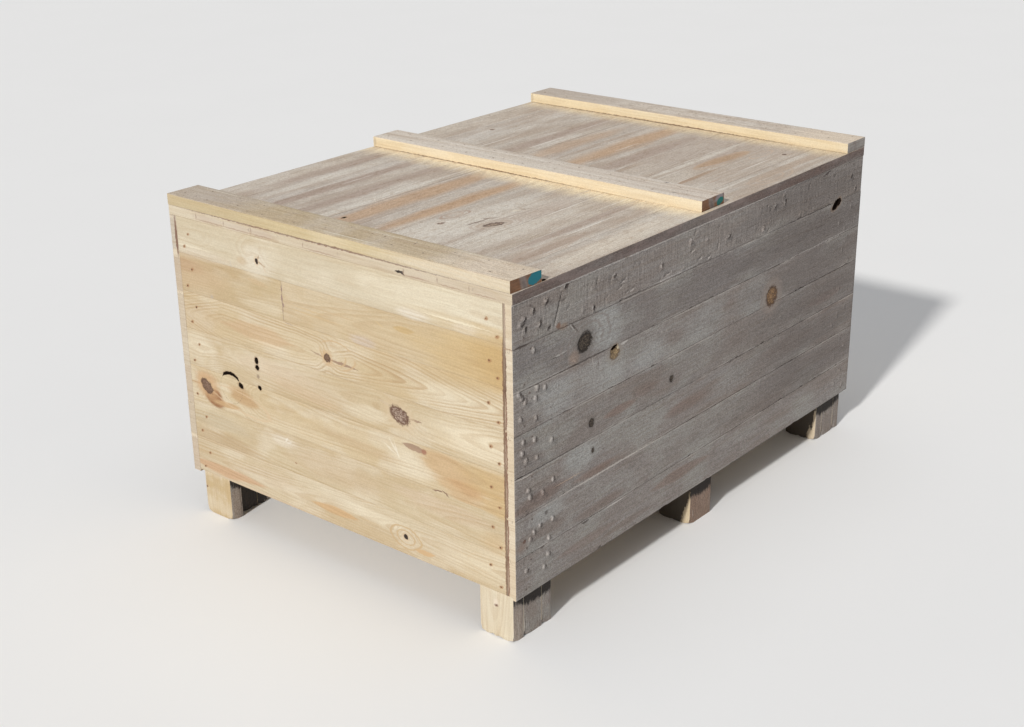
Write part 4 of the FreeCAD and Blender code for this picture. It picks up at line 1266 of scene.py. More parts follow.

# %% List its cracks, gaps and scratches, and the painted light and shade on its bruises and top edge
right_marks["marks"] = dent_light_and_shade + several(
    Mark, (-0.38, 0.2795, 0.19, 0.0018, (0.66, 0.60, 0.55), 0.75, 0.0, 0.5),
    # A painted highlight: a pale line along the top arris of the wall, where the edge catches the light.
    (-0.20, 0.7284, 0.60, 0.0021, (0.74, 0.69, 0.65), 0.85, 0.0, 0.5),
    (-0.655, 0.3650, 0.026, 0.0012, (0.62, 0.56, 0.51), 0.9),
    (-0.515, 0.3065, 0.055, 0.0010, (0.56, 0.42, 0.32), 0.8), (-0.355, 0.1865, 0.034, 0.0014, SPLINTER_AND_HIGHLIGHT, 0.9),
    (0.45, 0.5505, 0.16, 0.0016, (0.54, 0.49, 0.46), 0.7, 0.0, 0.5),
    # The marks on the gouges at -0.547 and -0.496 are painted shade, with a painted highlight beside the
    # second.
    (-0.15, 0.6435, 0.10, 0.0014, (0.56, 0.52, 0.49), 0.8), (-0.547, 0.683, 0.037, 0.0012, SOOT_AND_SHADOW, 0.85, 1.195),
    (-0.404, 0.686, 0.034, 0.0011, (0.20, 0.17, 0.15), 0.7, 1.27),
    (-0.496, 0.630, 0.020, 0.0016, SOOT_AND_SHADOW, 0.85, -0.80), (-0.502, 0.630, 0.020, 0.0012, SPLINTER_AND_HIGHLIGHT, 0.8, -0.80),
    (-0.546, 0.648, 0.0070, 0.0060, (0.26, 0.15, 0.10), 0.9, 0.0, 0.5, False),
    (-0.327, 0.5460, 0.014, 0.0030, (0.66, 0.62, 0.58), 0.7, 0.1, 0.4),
    (-0.350, 0.5420, 0.004, 0.008, (0.84, 0.70, 0.42), 0.9, 0.3),
    (-0.369, 0.5330, 0.003, 0.008, (0.80, 0.66, 0.40), 0.9, -0.2),
    (-0.435, 0.5350, 0.0016, 0.014, SPLINTER_AND_HIGHLIGHT, 0.5, 0.15, 0.4),
    (-0.418, 0.5330, 0.0014, 0.012, (0.22, 0.18, 0.16), 0.8, 0.1),
    (-0.545, 0.5880, 0.024, 0.0016, (0.60, 0.57, 0.53), 0.7, 0.05, 0.5),
    (-0.562, 0.5860, 0.010, 0.0014, SOOT_AND_SHADOW, 0.7), (-0.589, 0.261, 0.0050, 0.0045, SOOT_AND_SHADOW, 0.7, 0.0, 0.5, False),
    (-0.659, 0.2250, 0.0060, 0.0040, (0.14, 0.08, 0.06), 0.95, 0.3),
    (-0.668, 0.2150, 0.014, 0.010, (0.30, 0.20, 0.155), 0.6, 0.0, 0.8, False),
    (-0.408, 0.1030, 0.008, 0.0030, SOOT_AND_SHADOW, 0.8), (-0.459, 0.1850, 0.014, 0.0028, SOOT_AND_SHADOW, 0.8),
    (-0.602, 0.1880, 0.008, 0.0022, SOOT_AND_SHADOW, 0.8), (-0.475, 0.5500, 0.10, 0.0026, SOOT_AND_SHADOW, 0.85, 0.0, 0.5),
    (-0.660, 0.6400, 0.022, 0.0022, SOOT_AND_SHADOW, 0.85), (-0.30, 0.6420, 0.07, 0.0014, SOOT_AND_SHADOW, 0.7),
    (0.490, 0.5960, 0.026, 0.0014, SOOT_AND_SHADOW, 0.8), (0.506, 0.7230, 0.022, 0.0024, (0.07, 0.05, 0.045), 0.9, 0.2),
    (-0.56, 0.369, 0.12, 0.0014, SOOT_AND_SHADOW, 0.6))
right_marks["loops"] = several(
    Loop, (-0.463, 0.589, 0.060, 0.036, GREY_RING, 0.6, 0.2, 0.05),
    (-0.463, 0.589, 0.085, 0.045, GREY_RING, 0.5, 0.2, 0.04),
    (-0.149, 0.407, 0.022, 0.018, GREY_RING, 0.7, 0.2, 0.08),
    (0.268, 0.479, 0.05, 0.038, (0.30, 0.25, 0.22), 0.5, 0.2, 0.05))
right_marks["marks"] += [
    mark for mark in rust_marks(SIDE_RIGHT, WALL_RIGHT, (0.26, 0.21, 0.18), 0.4) if mark.c < 0.64]
right_tones = {
    (7, 0): dict(saw=4.5, bump=1.0, haze_share=0.5, lumps=2.8, seam=0.35),
    (6, 0): dict(
        seam=0.6, grey_light=(0.43, 0.41, 0.40), grey_dark=(0.31, 0.285, 0.275), brown=(0.30, 0.255, 0.235)),
    (4, 0): dict(grey_light=(0.45, 0.415, 0.395)), (3, 0): dict(brown=(0.34, 0.265, 0.225), rust=0.7),
    (1, 0): dict(rust=0.6)}

print("Right marks:", len(right_marks["marks"]))

# %% Build the side walls
wall_of_planks(
    "right", SIDE_RIGHT, range(1, 8), WEATHERED, 0.0006, 0.007, right_marks, right_tones, chips=9,
    insets={7: 0.0013})
left_marks = sow(
    sower, SIDE_LEFT, walls_low, walls_high, ("grey", "rusty", "grey", "orange"),
    (SOOT_AND_SHADOW, UMBER, RUSTY, ASH, ASH), 12, 34)
left_marks["dents"] = []
for _ in range(70):
    a = knock.choice((-1, 1)) * knock.uniform(.56, .67) if knock.random() < 0.7 else knock.uniform(-.6, .6)
    c, tilt, la = knock.uniform(.115, .72), knock.uniform(.2, 1.3), knock.uniform(.0028, .0048)
    left_marks["dents"].append(Dent(a, c, la, .003, knock.choice((-.0022, -.0030, .0016)), tilt))
    # A painted highlight on the front side of each bruise.
    left_marks["marks"].append(Mark(a - .0015, c, la, .0018, SPLINTER_AND_HIGHLIGHT, .7, tilt, .3))
wall_of_planks("left", SIDE_LEFT, range(1, 8), WEATHERED, 0.0006, 0.008, left_marks, chips=7)

# %% [markdown]
# ### The lid
#
# Eleven planks run front to back. The sun has silvered them in long soft streaks, the resin has
# come up orange in some, and in front of the middle and the back batten, where the wood was
# covered until lately, a strip is still yellow.

# %% List the knots and streaks of the lid
LID_ORANGE, LID_MAUVE = (0.66, 0.46, 0.30), (0.51, 0.405, 0.34)
LID_PALE, LID_YELLOW = (0.84, 0.80, 0.72), (0.82, 0.70, 0.50)
lid_marks = {
    "knots": several(
        Knot, (-0.368, 0.183, 0.026, 0.0115, "lid", 0.014, 2.4, 0.35),
        (-0.430, 0.088, 0.0085, 0.0050, "lid", 0.014, 4.0, 0.3),
        (-0.366, 0.070, 0.022, 0.008, None, 0.012, 2.5), (0.281, -0.369, 0.0065, 0.0055, "lid"),
        (0.503, 0.375, 0.0065, 0.0055, "lid"), (0.36, 0.285, 0.05, 0.02, None, 0.02, 2.2),
        (0.30, 0.455, 0.04, 0.016, None, 0.02, 2.2), (-0.44, 0.376, 0.05, 0.014, None, 0.016, 2.2)),
    # The second hole is painted shadow: a black spot on the lid just behind the right end of the front
    # batten.
    "holes": [Hole(-0.525, -0.106, 0.0070, 0.0040), Hole(-0.588, 0.4885, 0.007, 0.005)]}
lid_marks["stains"] = several(
    Stain, (0.44, 0.20, 0.22, 0.11, (0.60, 0.52, 0.45), 0.75, 0.0, 0.6),
    (0.53, 0.33, 0.08, 0.05, (0.62, 0.54, 0.47), 0.6, 0.0, 0.6),
    (-0.32, -0.094, 0.33, 0.030, LID_ORANGE, 0.85, 0.0, 0.5),
    (-0.30, 0.016, 0.30, 0.021, LID_ORANGE, 0.9, 0.0, 0.5),
    (0.29, -0.105, 0.18, 0.026, LID_ORANGE, 0.55, 0.0, 0.5),
    (0.36, 0.010, 0.27, 0.030, LID_ORANGE, 0.85, 0.0, 0.5),
    (-0.36, -0.303, 0.32, 0.018, LID_MAUVE, 0.85, 0.0, 0.5),
    (-0.33, -0.217, 0.30, 0.020, LID_MAUVE, 0.75, 0.0, 0.5),
    (-0.25, -0.42, 0.25, 0.020, LID_MAUVE, 0.7, 0.0, 0.5),
    (0.33, -0.19, 0.27, 0.022, LID_MAUVE, 0.8, 0.0, 0.5),
    (0.30, 0.10, 0.20, 0.022, LID_MAUVE, 0.75, 0.0, 0.5),
    (-0.42, 0.185, 0.14, 0.016, LID_MAUVE, 0.6, 0.0, 0.5),
    (0.38, 0.282, 0.10, 0.017, (0.58, 0.41, 0.27), 0.9, 0.1, 0.25),
    (0.20, 0.318, 0.10, 0.008, (0.53, 0.39, 0.28), 0.8, 0.0, 0.3),
    (-0.44, 0.376, 0.16, 0.014, (0.52, 0.41, 0.33), 0.8), (-0.22, 0.33, 0.22, 0.012, LID_MAUVE, 0.7),
    (0.42, 0.44, 0.20, 0.014, (0.56, 0.44, 0.34), 0.7), (-0.46, 0.115, 0.14, 0.065, LID_PALE, 0.9, 0.1, 0.6),
    (-0.28, 0.13, 0.12, 0.060, LID_PALE, 0.7, 0.2, 0.6), (-0.38, 0.24, 0.16, 0.05, LID_PALE, 0.7, 0.1, 0.6),
    (-0.30, 0.46, 0.26, 0.03, (0.84, 0.77, 0.66), 0.85, 0.0, 0.6),
    (0.35, 0.235, 0.20, 0.012, LID_PALE, 0.8, 0.0, 0.5), (-0.30, -0.37, 0.22, 0.016, LID_PALE, 0.7, 0.0, 0.5),
    (-0.40, -0.155, 0.24, 0.012, LID_PALE, 0.8, 0.0, 0.5), (0.25, -0.33, 0.22, 0.03, LID_PALE, 0.3, 0.0, 0.6),
    (-0.22, 0.205, 0.08, 0.03, (0.64, 0.54, 0.46), 0.6, 0.0, 0.6),
    (-0.042, 0.0, 0.040, 0.75, (0.99, 0.86, 0.62), 0.95, 0.0, 0.85),
    (0.590, 0.0, 0.036, 0.75, LID_YELLOW, 0.9, 0.0, 0.85))
print("Lid stains:", len(lid_marks["stains"]))

# %% List its cracks, year lines and dents
lid_marks["marks"] = several(
    Mark, (-0.376, 0.1440, 0.036, 0.0036, (0.26, 0.19, 0.15), 0.9, 0.10, 0.5),
    (-0.340, 0.1470, 0.020, 0.0034, (0.32, 0.24, 0.19), 0.9, 0.6, 0.4),
    (-0.243, 0.1645, 0.026, 0.0020, (0.36, 0.27, 0.21), 0.8, 0.4),
    (-0.262, 0.156, 0.014, 0.005, (0.80, 0.72, 0.58), 0.55, 0.3, 0.6),
    (-0.412, 0.092, 0.010, 0.003, (0.80, 0.76, 0.68), 0.8),
    (-0.30, 0.172, 0.08, 0.0020, (0.42, 0.33, 0.28), 0.7, 0.15),
    (0.17, 0.318, 0.045, 0.0022, (0.45, 0.32, 0.24), 0.8),
    (0.192, 0.370, 0.050, 0.0024, (0.47, 0.35, 0.27), 0.7))
lid_marks["marks"] += [
    Mark(
        knock.uniform(-.6, .6), knock.uniform(-.48, .48), knock.uniform(.05, .16),
        knock.uniform(.0010, .0024),
        knock.choice(((0.40, 0.31, 0.26), (0.47, 0.38, 0.32), (0.78, 0.74, 0.67))), knock.uniform(.4, .75),
        0.0, 0.5) for _ in range(54)]
lid_marks["marks"] += rust_marks(LID, LID_TOP, (0.40, 0.29, 0.21), 0.6)
lid_marks["loops"] = several(
    Loop, (-0.366, 0.070, 0.040, 0.015, (0.44, 0.33, 0.26), 0.95, 0.15, 0.10),
    (-0.366, 0.070, 0.022, 0.008, (0.50, 0.38, 0.29), 0.8, 0.15, 0.14),
    (-0.368, 0.183, 0.040, 0.020, (0.44, 0.34, 0.27), 0.8, 0.3, 0.09),
    (-0.366, 0.186, 0.058, 0.030, (0.48, 0.38, 0.31), 0.6, 0.3, 0.06),
    (0.37, 0.283, 0.105, 0.022, (0.52, 0.38, 0.27), 0.8, 0.05, 0.07),
    (0.38, 0.283, 0.075, 0.014, (0.50, 0.35, 0.25), 0.7, 0.05, 0.09),
    (0.305, 0.455, 0.05, 0.018, (0.55, 0.43, 0.33), 0.7, 0.0, 0.08),
    (0.31, 0.455, 0.09, 0.030, (0.55, 0.43, 0.33), 0.6, 0.0, 0.05),
    (-0.44, 0.376, 0.10, 0.022, (0.50, 0.39, 0.31), 0.7, 0.0, 0.06),
    (0.47, 0.33, 0.05, 0.014, (0.58, 0.44, 0.33), 0.6, 0.0, 0.08))
lid_marks["dents"] = several(
    Dent, (-0.368, 0.183, 0.022, 0.0085, 0.0012, 0.35), (-0.430, 0.088, 0.005, 0.003, 0.0014),
    (-0.378, 0.1415, 0.024, 0.0016, 0.0010), (0.281, -0.369, 0.005, 0.004, 0.0012),
    (0.503, 0.375, 0.005, 0.004, 0.0012))
lid_marks["dents"] += [
    Dent(knock.uniform(-.6, .6), knock.uniform(-.45, .45), .0035, .0025, knock.choice((.0010, .0015)))
    for _ in range(16)]
print("Lid marks:", len(lid_marks["marks"]))

# %% Tint each plank of the lid and build it
shade = random.Random(23)
lid_tones = {}
for row in range(1, 12):
    warm = shade.uniform(-1, 1)
    lift = shade.uniform(0.95, 1.05)
    lid_tones[(row, 0)] = dict(
        grey_light=tuple(min(1.0, c * lift) for c in (0.83 + 0.01 * warm, 0.785, 0.71 - 0.02 * warm)),
        grey_dark=tuple(c * lift for c in (0.56 + 0.015 * warm, 0.495, 0.435 - 0.02 * warm)),
        rust=shade.uniform(0.5, 0.9))
wall_of_planks("lid", LID, range(1, 12), AGED, 0.0004, 0.009, lid_marks, lid_tones)


# %% [markdown]
# ## Battens, posts, floor and feet
#
# Everything else is plain sawn timber. Posts, bearers and floor boards are hidden until the lid
# comes off, but they hold the crate together, so they are made with the same care: eased arrises,
# a slow ripple and the same tree inside.

# %% Make the plain sawn timbers
def make_timber(
        name, blocks, lie, eased, pitch, body, seen, ends, hidden, shape=None, near=0.006, outer=None):
    """Blocks between corners, worked and coated, as one piece that replaces its CAD node."""
    pieces = []
    for low, high in blocks:
        piece = sawn_block(name, low, high)
        ease_edges(piece, lie, eased, both_faces=True)
        for axis in range(3):
            slice_up(piece, axis, pitch)
        if shape:
            shape(piece)
        ripple(piece, lie, 0.0008, 0.10, "slow ripple")
        coat(piece, lie, seen, ends, hidden, outer, -1 if outer else 0, near=near)
        pieces.append(piece)
    piece = joined(name + "_wood", pieces)
    smooth(piece)
    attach(piece, body)
    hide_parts(name)


# %% [markdown]
# ### The battens
#
# Three battens hold the lid planks together. Their tops have silvered, their front edges are
# still bright, and their right ends are rough and brown. Two are dabbed with teal paint, as a
# timber yard marks its bundles. The front one was cut off a little skew, which one bisect does.

# %% Saw an end skew
def saw_skew(piece):
    """Cut the right end off at a slant."""
    edit(piece)
    bpy.ops.mesh.select_all(action="SELECT")
    bpy.ops.mesh.bisect(
        plane_co=(0.4905, -0.6875, 0.76), plane_no=(1.0, -0.05, 0.0), clear_outer=True, use_fill=True)
    close()


# %% Describe the three battens
BATTEN_EDGE = dict(
    pale=(0.80, 0.69, 0.49), warm=(0.76, 0.63, 0.42), late=(0.70, 0.54, 0.33), streak=(0.74, 0.60, 0.38),
    seam_tone=(0.6, 0.5, 0.4), lines=0.25, seam=0.0, haze=(0.85, 0.77, 0.60), haze_share=0.4,
    haze_size=(7.0, 7.0, 7.0))
BATTEN_TOP = age(
    AGED, pale=(0.90, 0.83, 0.73), warm=(0.84, 0.76, 0.65), grey=0.6, grey_light=(0.94, 0.89, 0.82),
    grey_dark=(0.74, 0.68, 0.61), grain=0.6, mottle=0.25, streak_size=(1.2, 60.0, 60.0), haze_share=0.35)
TEAL, GREEN_TEAL, BATTEN_FOOT_SHADE = (0.008, 0.165, 0.21), (0.012, 0.17, 0.15), (0.20, 0.11, 0.07)
END_BROWN, END_ASH, END_GREYED = (0.30, 0.145, 0.07), (0.30, 0.26, 0.24), (0.44, 0.41, 0.38)
END_LIE = Lie(along=1, across=2, through=0, face=1)
BATTENS = {
    "front": dict(
        top=dict(
            pale=(0.71, 0.59, 0.40), warm=(0.66, 0.54, 0.34), grey=0.25, grey_light=(0.72, 0.66, 0.56),
            grey_dark=(0.58, 0.50, 0.40)),
        edge=dict(pale=(0.63, 0.53, 0.335), warm=(0.59, 0.485, 0.29), haze_share=0.2),
        edge_stains=[
            Stain(-0.42, 0.765, 0.20, 0.03, (0.55, 0.45, 0.28), 0.85, 0.0, 0.6),
            Stain(0.38, 0.768, 0.20, 0.03, (0.72, 0.635, 0.50), 0.85, 0.0, 0.6)],
        line=(-0.05, 0.36, 0.7)),
    "middle": dict(
        top=dict(), edge=dict(pale=(0.88, 0.765, 0.56), warm=(0.85, 0.73, 0.515)), edge_stains=[],
        line=(-0.15, 0.30, 0.95)),
    "back": dict(
        top=dict(grey=0.75, grey_dark=(0.55, 0.48, 0.41)),
        edge=dict(pale=(0.86, 0.74, 0.52), warm=(0.83, 0.70, 0.475)), edge_stains=[],
        line=(-0.05, 0.38, 0.95))}
print("Battens described:", list(BATTENS))

# %% Make the battens
for n, (place, made_of) in enumerate(BATTENS.items()):
    name = f"lid_batten_{place}"
    low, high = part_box(name)
    tops = [
        Stain(-0.42, (low.y + high.y) / 2, 0.16, 0.06, (0.62, 0.55, 0.48), 0.8, 0.0, 0.6),
        Stain(0.44, (low.y + high.y) / 2, 0.12, 0.06, (0.90, 0.79, 0.65), 0.85, 0.0, 0.6)]
    specks = [
        Mark(
            chance.uniform(-0.48, 0.46), chance.uniform(low.y + 0.01, high.y - 0.01),
            chance.uniform(0.0015, 0.003), 0.0016, (0.22, 0.15, 0.11), 0.8, chance.uniform(-1, 1), 0.4)
        for _ in range(16)]
    specks += [
        Mark(
            chance.uniform(-0.45, 0.42), low.y + chance.uniform(0.005, 0.083), chance.uniform(0.03, 0.10),
            0.0014, chance.choice(((0.55, 0.45, 0.32), (0.80, 0.75, 0.63))), 0.6, 0.0, 0.5)
        for _ in range(10)]
    if place == "middle":
        specks += several(
            Mark, (0.341, 0.044, 0.007, 0.0016, (0.12, 0.10, 0.09), 0.95, 0.9),
            (0.400, -0.012, 0.007, 0.0014, (0.12, 0.10, 0.09), 0.9, 0.1),
            (0.203, -0.017, 0.004, 0.0016, (0.2, 0.15, 0.12), 0.9))
    specks += rust_marks(BATTEN, BATTENS_TOP, (0.50, 0.39, 0.29), 0.35)
    top = pine(
        f"{name} top", BATTEN, low, high, 21.0 + n, age(BATTEN_TOP, **made_of["top"]),
        stains=tops if place != "middle" else (),
        marks=[m for m in specks if low.y - 0.01 < m.c < high.y + 0.01])
    # The line of each batten places the painted shade line at the foot of its front edge: middle, half length
    # and strength.
    middle_of_line, half_line, share = made_of["line"]
    edge = pine(
        f"{name} edge", END_FRONT, low, high, 21.0 + n, age(BATTEN_EDGE, **made_of["edge"]),
        stains=made_of["edge_stains"],
        marks=several(
            # The first two marks are painted shade: a dark line along the foot of the front edge, where the
            # batten sits on the lid.
            Mark, (middle_of_line, low.z + 0.0006, half_line, 0.0013, BATTEN_FOOT_SHADE, share, 0.0, 0.6),
            (middle_of_line + 0.06, low.z, 0.10, 0.0022, BATTEN_FOOT_SHADE, share, 0.0, 0.6),
            (-0.49, 0.765, 0.004, 0.012, (0.52, 0.42, 0.28), 0.7, 0.0, 0.5, False)))
    depth = high.y - low.y
    dabs, ash = [], Stain(low.y + 0.42 * depth, 0.765, 0.008, 0.03, END_ASH, 0.7, 0.3, 0.4)
    if place != "back":
        dabs = [
            Mark(low.y + 0.47 * depth, 0.7640, 0.10 * depth, 0.0150, END_ASH, 0.4, 0.3, 0.9, False),
            Mark(
                low.y + 0.45 * depth, 0.7600, 0.05 * depth, 0.0100, (0.10, 0.08, 0.075), 0.5, 0.4, 0.7,
                False)]
    if place == "front":
        dabs += [Mark(low.y + 0.76 * depth, 0.7645, 0.19 * depth, 0.0115, TEAL, 1.0, 0.10, 0.12, False),
                 Mark(low.y + 0.88 * depth, 0.7680, 0.13 * depth, 0.0115, TEAL, 1.0, 0.0, 0.12, False)]
    if place == "middle":
        dabs += [
            Mark(
                low.y + 0.78 * depth, 0.7710, 0.20 * depth, 0.0080, (0.28, 0.25, 0.26), 0.9, 0.2, 0.4, False),
            Mark(low.y + 0.82 * depth, 0.7620, 0.15 * depth, 0.0080, GREEN_TEAL, 1.0, 0.15, 0.15, False)]
    brown = END_BROWN if place != "back" else END_GREYED
    end = pine(
        f"{name} end", END_LIE, low, high, 24.0 + n,
        age(
            END_GRAIN, pale=brown, warm=tuple(c * 0.8 for c in brown), late=(0.15, 0.08, 0.05),
            streak=(0.30, 0.2, 0.14), mottle=0.5, grit=0.9),
        stains=[ash], marks=dabs)
    make_timber(
        name, [(low, high)], BATTEN, 0.0010, 0.010, "lid", top, end, edge,
        saw_skew if place == "front" else None)
print("Battens made:", list(BATTENS))

# %% Make the posts and stiffeners
POST = Lie(along=2, across=0, through=1, face=-1)
POSTS = [f"corner_post_{a}_{b}" for a in ("front", "back") for b in ("left", "right")]
for name in POSTS + ["stiffener_left", "stiffener_right"]:
    low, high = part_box(name)
    stuff = pine(f"{name} pine", POST, low, high, chance.uniform(1, 40), INNER)
    make_timber(name, [(low, high)], POST, 0.0012, 0.03, "crate", stuff, stuff, stuff)
print("Posts made:", POSTS)

# %% Make the floor and its bearers
low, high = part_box("floor_boards")
boards = []
for n in range(10):
    left = low.x + n * 0.095
    boards.append((Vector((left, low.y, low.z)), Vector((left + 0.09, high.y, high.z))))
floor_knots = sow(sower, FLOOR, low, high, ("brown", "tight", "black"), (DUSK, ORANGE, TAN, CREAM), 9, 22)
stuff = pine("floor pine", FLOOR, low, high, 31.0, INNER, **floor_knots)
make_timber("floor_boards", boards, FLOOR, 0.001, 0.03, "crate", stuff, stuff, stuff)
low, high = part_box("floor_bearers")
bearers = [
    (Vector((low.x, y - 0.045, low.z)), Vector((high.x, y + 0.045, high.z))) for y in (-0.620, 0.0, 0.620)]
stuff = pine("bearer pine", BATTEN, low, high, 33.0, INNER)
make_timber("floor_bearers", bearers, BATTEN, 0.001, 0.03, "crate", stuff, stuff, stuff)
print("Floor boards:", len(boards), "bearers:", len(bearers))

# %% [markdown]
# ### The feet
#
# A corner foot is three pieces of post nailed side by side, the middle one set back. The grain
# stands upright, the outer faces have weathered, and the lower edges are splintered where the
# crate was dragged. A few points of each lower edge are pulled up to break its line. The shade of
# the crate is painted on as well: a dark band at the top of the sides under the crate, and over
# most of the front of the middle and back feet on the right.

# %% Chip the lower edges of a foot
CORNER_WORN = 0.0032
splinter = random.Random(5)


def chip_below(piece):
    """Pull up short stretches of the lower edges."""
    edit(piece)
    ground = min(v.co.z for v in piece.data.vertices)
    outer = min(v.co.y for v in piece.data.vertices)
    for side in (min(v.co.x for v in piece.data.vertices), max(v.co.x for v in piece.data.vertices)):
        inwards = CORNER_WORN if side < (piece.bound_box[0][0] + piece.bound_box[6][0]) / 2 else -CORNER_WORN
        if pick("VERT", lambda v: (v.co - Vector((side, outer, ground))).length < 0.0045):
            bpy.ops.transform.translate(
                value=(inwards, 0, 0.0038), use_proportional_edit=True, proportional_edit_falloff="SMOOTH",
                proportional_size=0.016)
    for _ in range(3):
        corner = splinter.choice(bmesh.from_edit_mesh(piece.data).verts[:]).co.copy()
        if pick(
                "VERT",
                lambda v: v.co.z < ground + 0.001
                and (v.co.xy - corner.xy).length < splinter.uniform(0.004, 0.008)):
            bpy.ops.transform.translate(
                value=(0, 0, splinter.uniform(0.0015, 0.0040)), use_proportional_edit=True,
                proportional_edit_falloff="SHARP", proportional_size=0.008)
    close()


# %% Lay out a foot and its marks
FOOT_FRONT = Lie(along=2, across=0, through=1, face=-1)
FOOT_SIDE = Lie(along=2, across=1, through=0, face=1)
SET_BACK = 0.015


def foot_layers(end, side, low, high):
    """The blocks of one foot, and the marks where they meet."""
    if end == "middle":
        return [(low, high)], []
    blocks, joints = [], []
    last = SET_BACK if (end, side) == ("front", "left") else 0
    for start, stop, back in ((0, 0.0305, 0), (0.0315, 0.0885, SET_BACK), (0.0895, 0.12, last)):
        a, b = Vector((low.x, low.y + start, low.z)), Vector((high.x, low.y + stop, high.z + 0.001))
        if end == "front" and start == 0:
            a.y -= FOOT_PROUD
            b.z += 0.0052
        if back and side == "left":
            b.x -= back
        elif back:
            a.x += back
        blocks.append((a, b))
    for y in (low.y + 0.031, low.y + 0.089):
        joints += [
            Mark(0.05, y - 0.001, 0.06, 0.0016, (0.66, 0.58, 0.50), 0.7, 0.0, 0.6, False),
            Mark(0.02, y + 0.004, 0.03, 0.0014, (0.12, 0.09, 0.07), 0.7, 0.05)]
    return blocks, joints


def face_marks(end, side, low):
    """Rust and nail holes on a foot's front, and the crate's painted shadow on the middle and back right."""
    spots = rust_marks(FOOT_FRONT, low.y, (0.42, 0.27, 0.15), 0.6)
    if (end, side) == ("front", "right"):
        spots += [
            Mark(0.079, 0.4405, 0.0090, 0.0062, (0.73, 0.63, 0.51), 0.8, 0.0, 0.5, False),
            Mark(0.0735, 0.4425, 0.0026, 0.0046, (0.22, 0.13, 0.09), 0.9, 0.0, 0.5, False)]
    if (end, side) == ("front", "left"):
        spots += [Mark(0.066, -0.4545, 0.0024, 0.0028, (0.20, 0.12, 0.08), 0.95, 0.0, 0.3, False)]
    if end != "front" and side == "right":
        # painted shadow of the crate over the front face, all but a lit triangle at the outer lower corner
        spots += [Mark(0.0646, 0.4190, 0.5, 0.060, (0.040, 0.032, 0.026), 0.93, 0.265, 0.04, False)]
    return spots


def painted_shade_marks(end, side, low):
    """Painted shadow of the wall on the top of a foot's side, and of the crate on the front left foot."""
    if end == "front":
        marks = [Mark(0.106, low.y + 0.080, 0.036, 0.088, (0.030, 0.024, 0.020), 0.97, 0.0, 0.12, False)]
    else:
        marks = [Mark(0.106, low.y + 0.05, 0.040, 0.088, (0.030, 0.024, 0.020), 0.97, 0.0, 0.12, False)]
    # painted deep shade of the crate over the inner side of the front left foot
    if (end, side) == ("front", "left"):
        marks += [Mark(0.05, low.y + 0.078, 0.09, 0.046, (0.045, 0.038, 0.033), 0.95, 0.0, 0.04, False)]
    return marks


def worn_marks(low, high):
    """Ten random scuffs near the ground."""
    return [
        Mark(
            splinter.uniform(0.0, 0.1), splinter.uniform(low.y, high.y), splinter.uniform(0.008, 0.03),
            splinter.uniform(0.0008, 0.002),
            splinter.choice(((0.58, 0.53, 0.47), (0.20, 0.16, 0.14), (0.20, 0.16, 0.14))), 0.45,
            splinter.uniform(-0.15, 0.15), 0.5) for _ in range(10)]


# %% Make the feet
FOOT_TONES = {
    ("front", "left"): (0.58, 0.455, 0.27), ("front", "right"): (0.75, 0.69, 0.56),
    ("middle", "left"): (0.62, 0.52, 0.38), ("middle", "right"): (0.74, 0.64, 0.46),
    ("back", "left"): (0.62, 0.53, 0.40), ("back", "right"): (0.66, 0.56, 0.42)}
for (end, side), tone in FOOT_TONES.items():
    name = f"foot_{end}_{side}"
    low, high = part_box(name)
    blocks, joints = foot_layers(end, side, low, high)
    worn = worn_marks(low, high)
    front = pine(
        f"{name} face", FOOT_FRONT, low, high, chance.uniform(1, 40),
        age(
            FRESH, pale=tone, warm=tuple(c * f for c, f in zip(tone, (0.93, 0.88, 0.80))), lines=0.25,
            seam=0.0),
        marks=face_marks(end, side, low))
    wood = age(
        WEATHERED, grey=0.8, seam=0.0, grey_light=(0.47, 0.415, 0.375), grey_dark=(0.31, 0.265, 0.24),
        brown=(0.32, 0.25, 0.21), saw=0.0, grain=0.25, streak_size=(9.0, 30.0, 30.0),
        mottle_size=(60.0, 160.0, 160.0), fibre=0.15)
    if end == "middle":
        wood = age(
            wood, grey_light=(0.44, 0.31, 0.23), grey_dark=(0.34, 0.21, 0.15), brown=(0.36, 0.20, 0.12),
            haze_share=0.2)
    lighter = []
    if end == "front":
        lighter = [Stain(0.03, low.y + 0.014, 0.05, 0.016, (0.56, 0.46, 0.38), 0.7, 0.0, 0.3)]
    seed = chance.uniform(1, 40)
    sides = pine(
        f"{name} side", FOOT_SIDE, low, high, seed, wood, stains=lighter,
        marks=joints + worn + painted_shade_marks(end, side, low))
    # The outer side of a left foot gets the side finish without the painted shade.
    outer = None
    if side == "left":
        outer = pine(f"{name} outside", FOOT_SIDE, low, high, seed, wood, marks=joints + worn)
    make_timber(
        name, blocks, FOOT_FRONT, 0.0012, 0.008, "crate", front, sides, sides, chip_below,
        near=0.0, outer=outer)
print("Feet made:", len(FOOT_TONES))

# %% [markdown]
# ## Nails
#
# One nail is modelled, from a circle extruded into a domed head and a shank, and copied to every
# place that was read off the CAD.

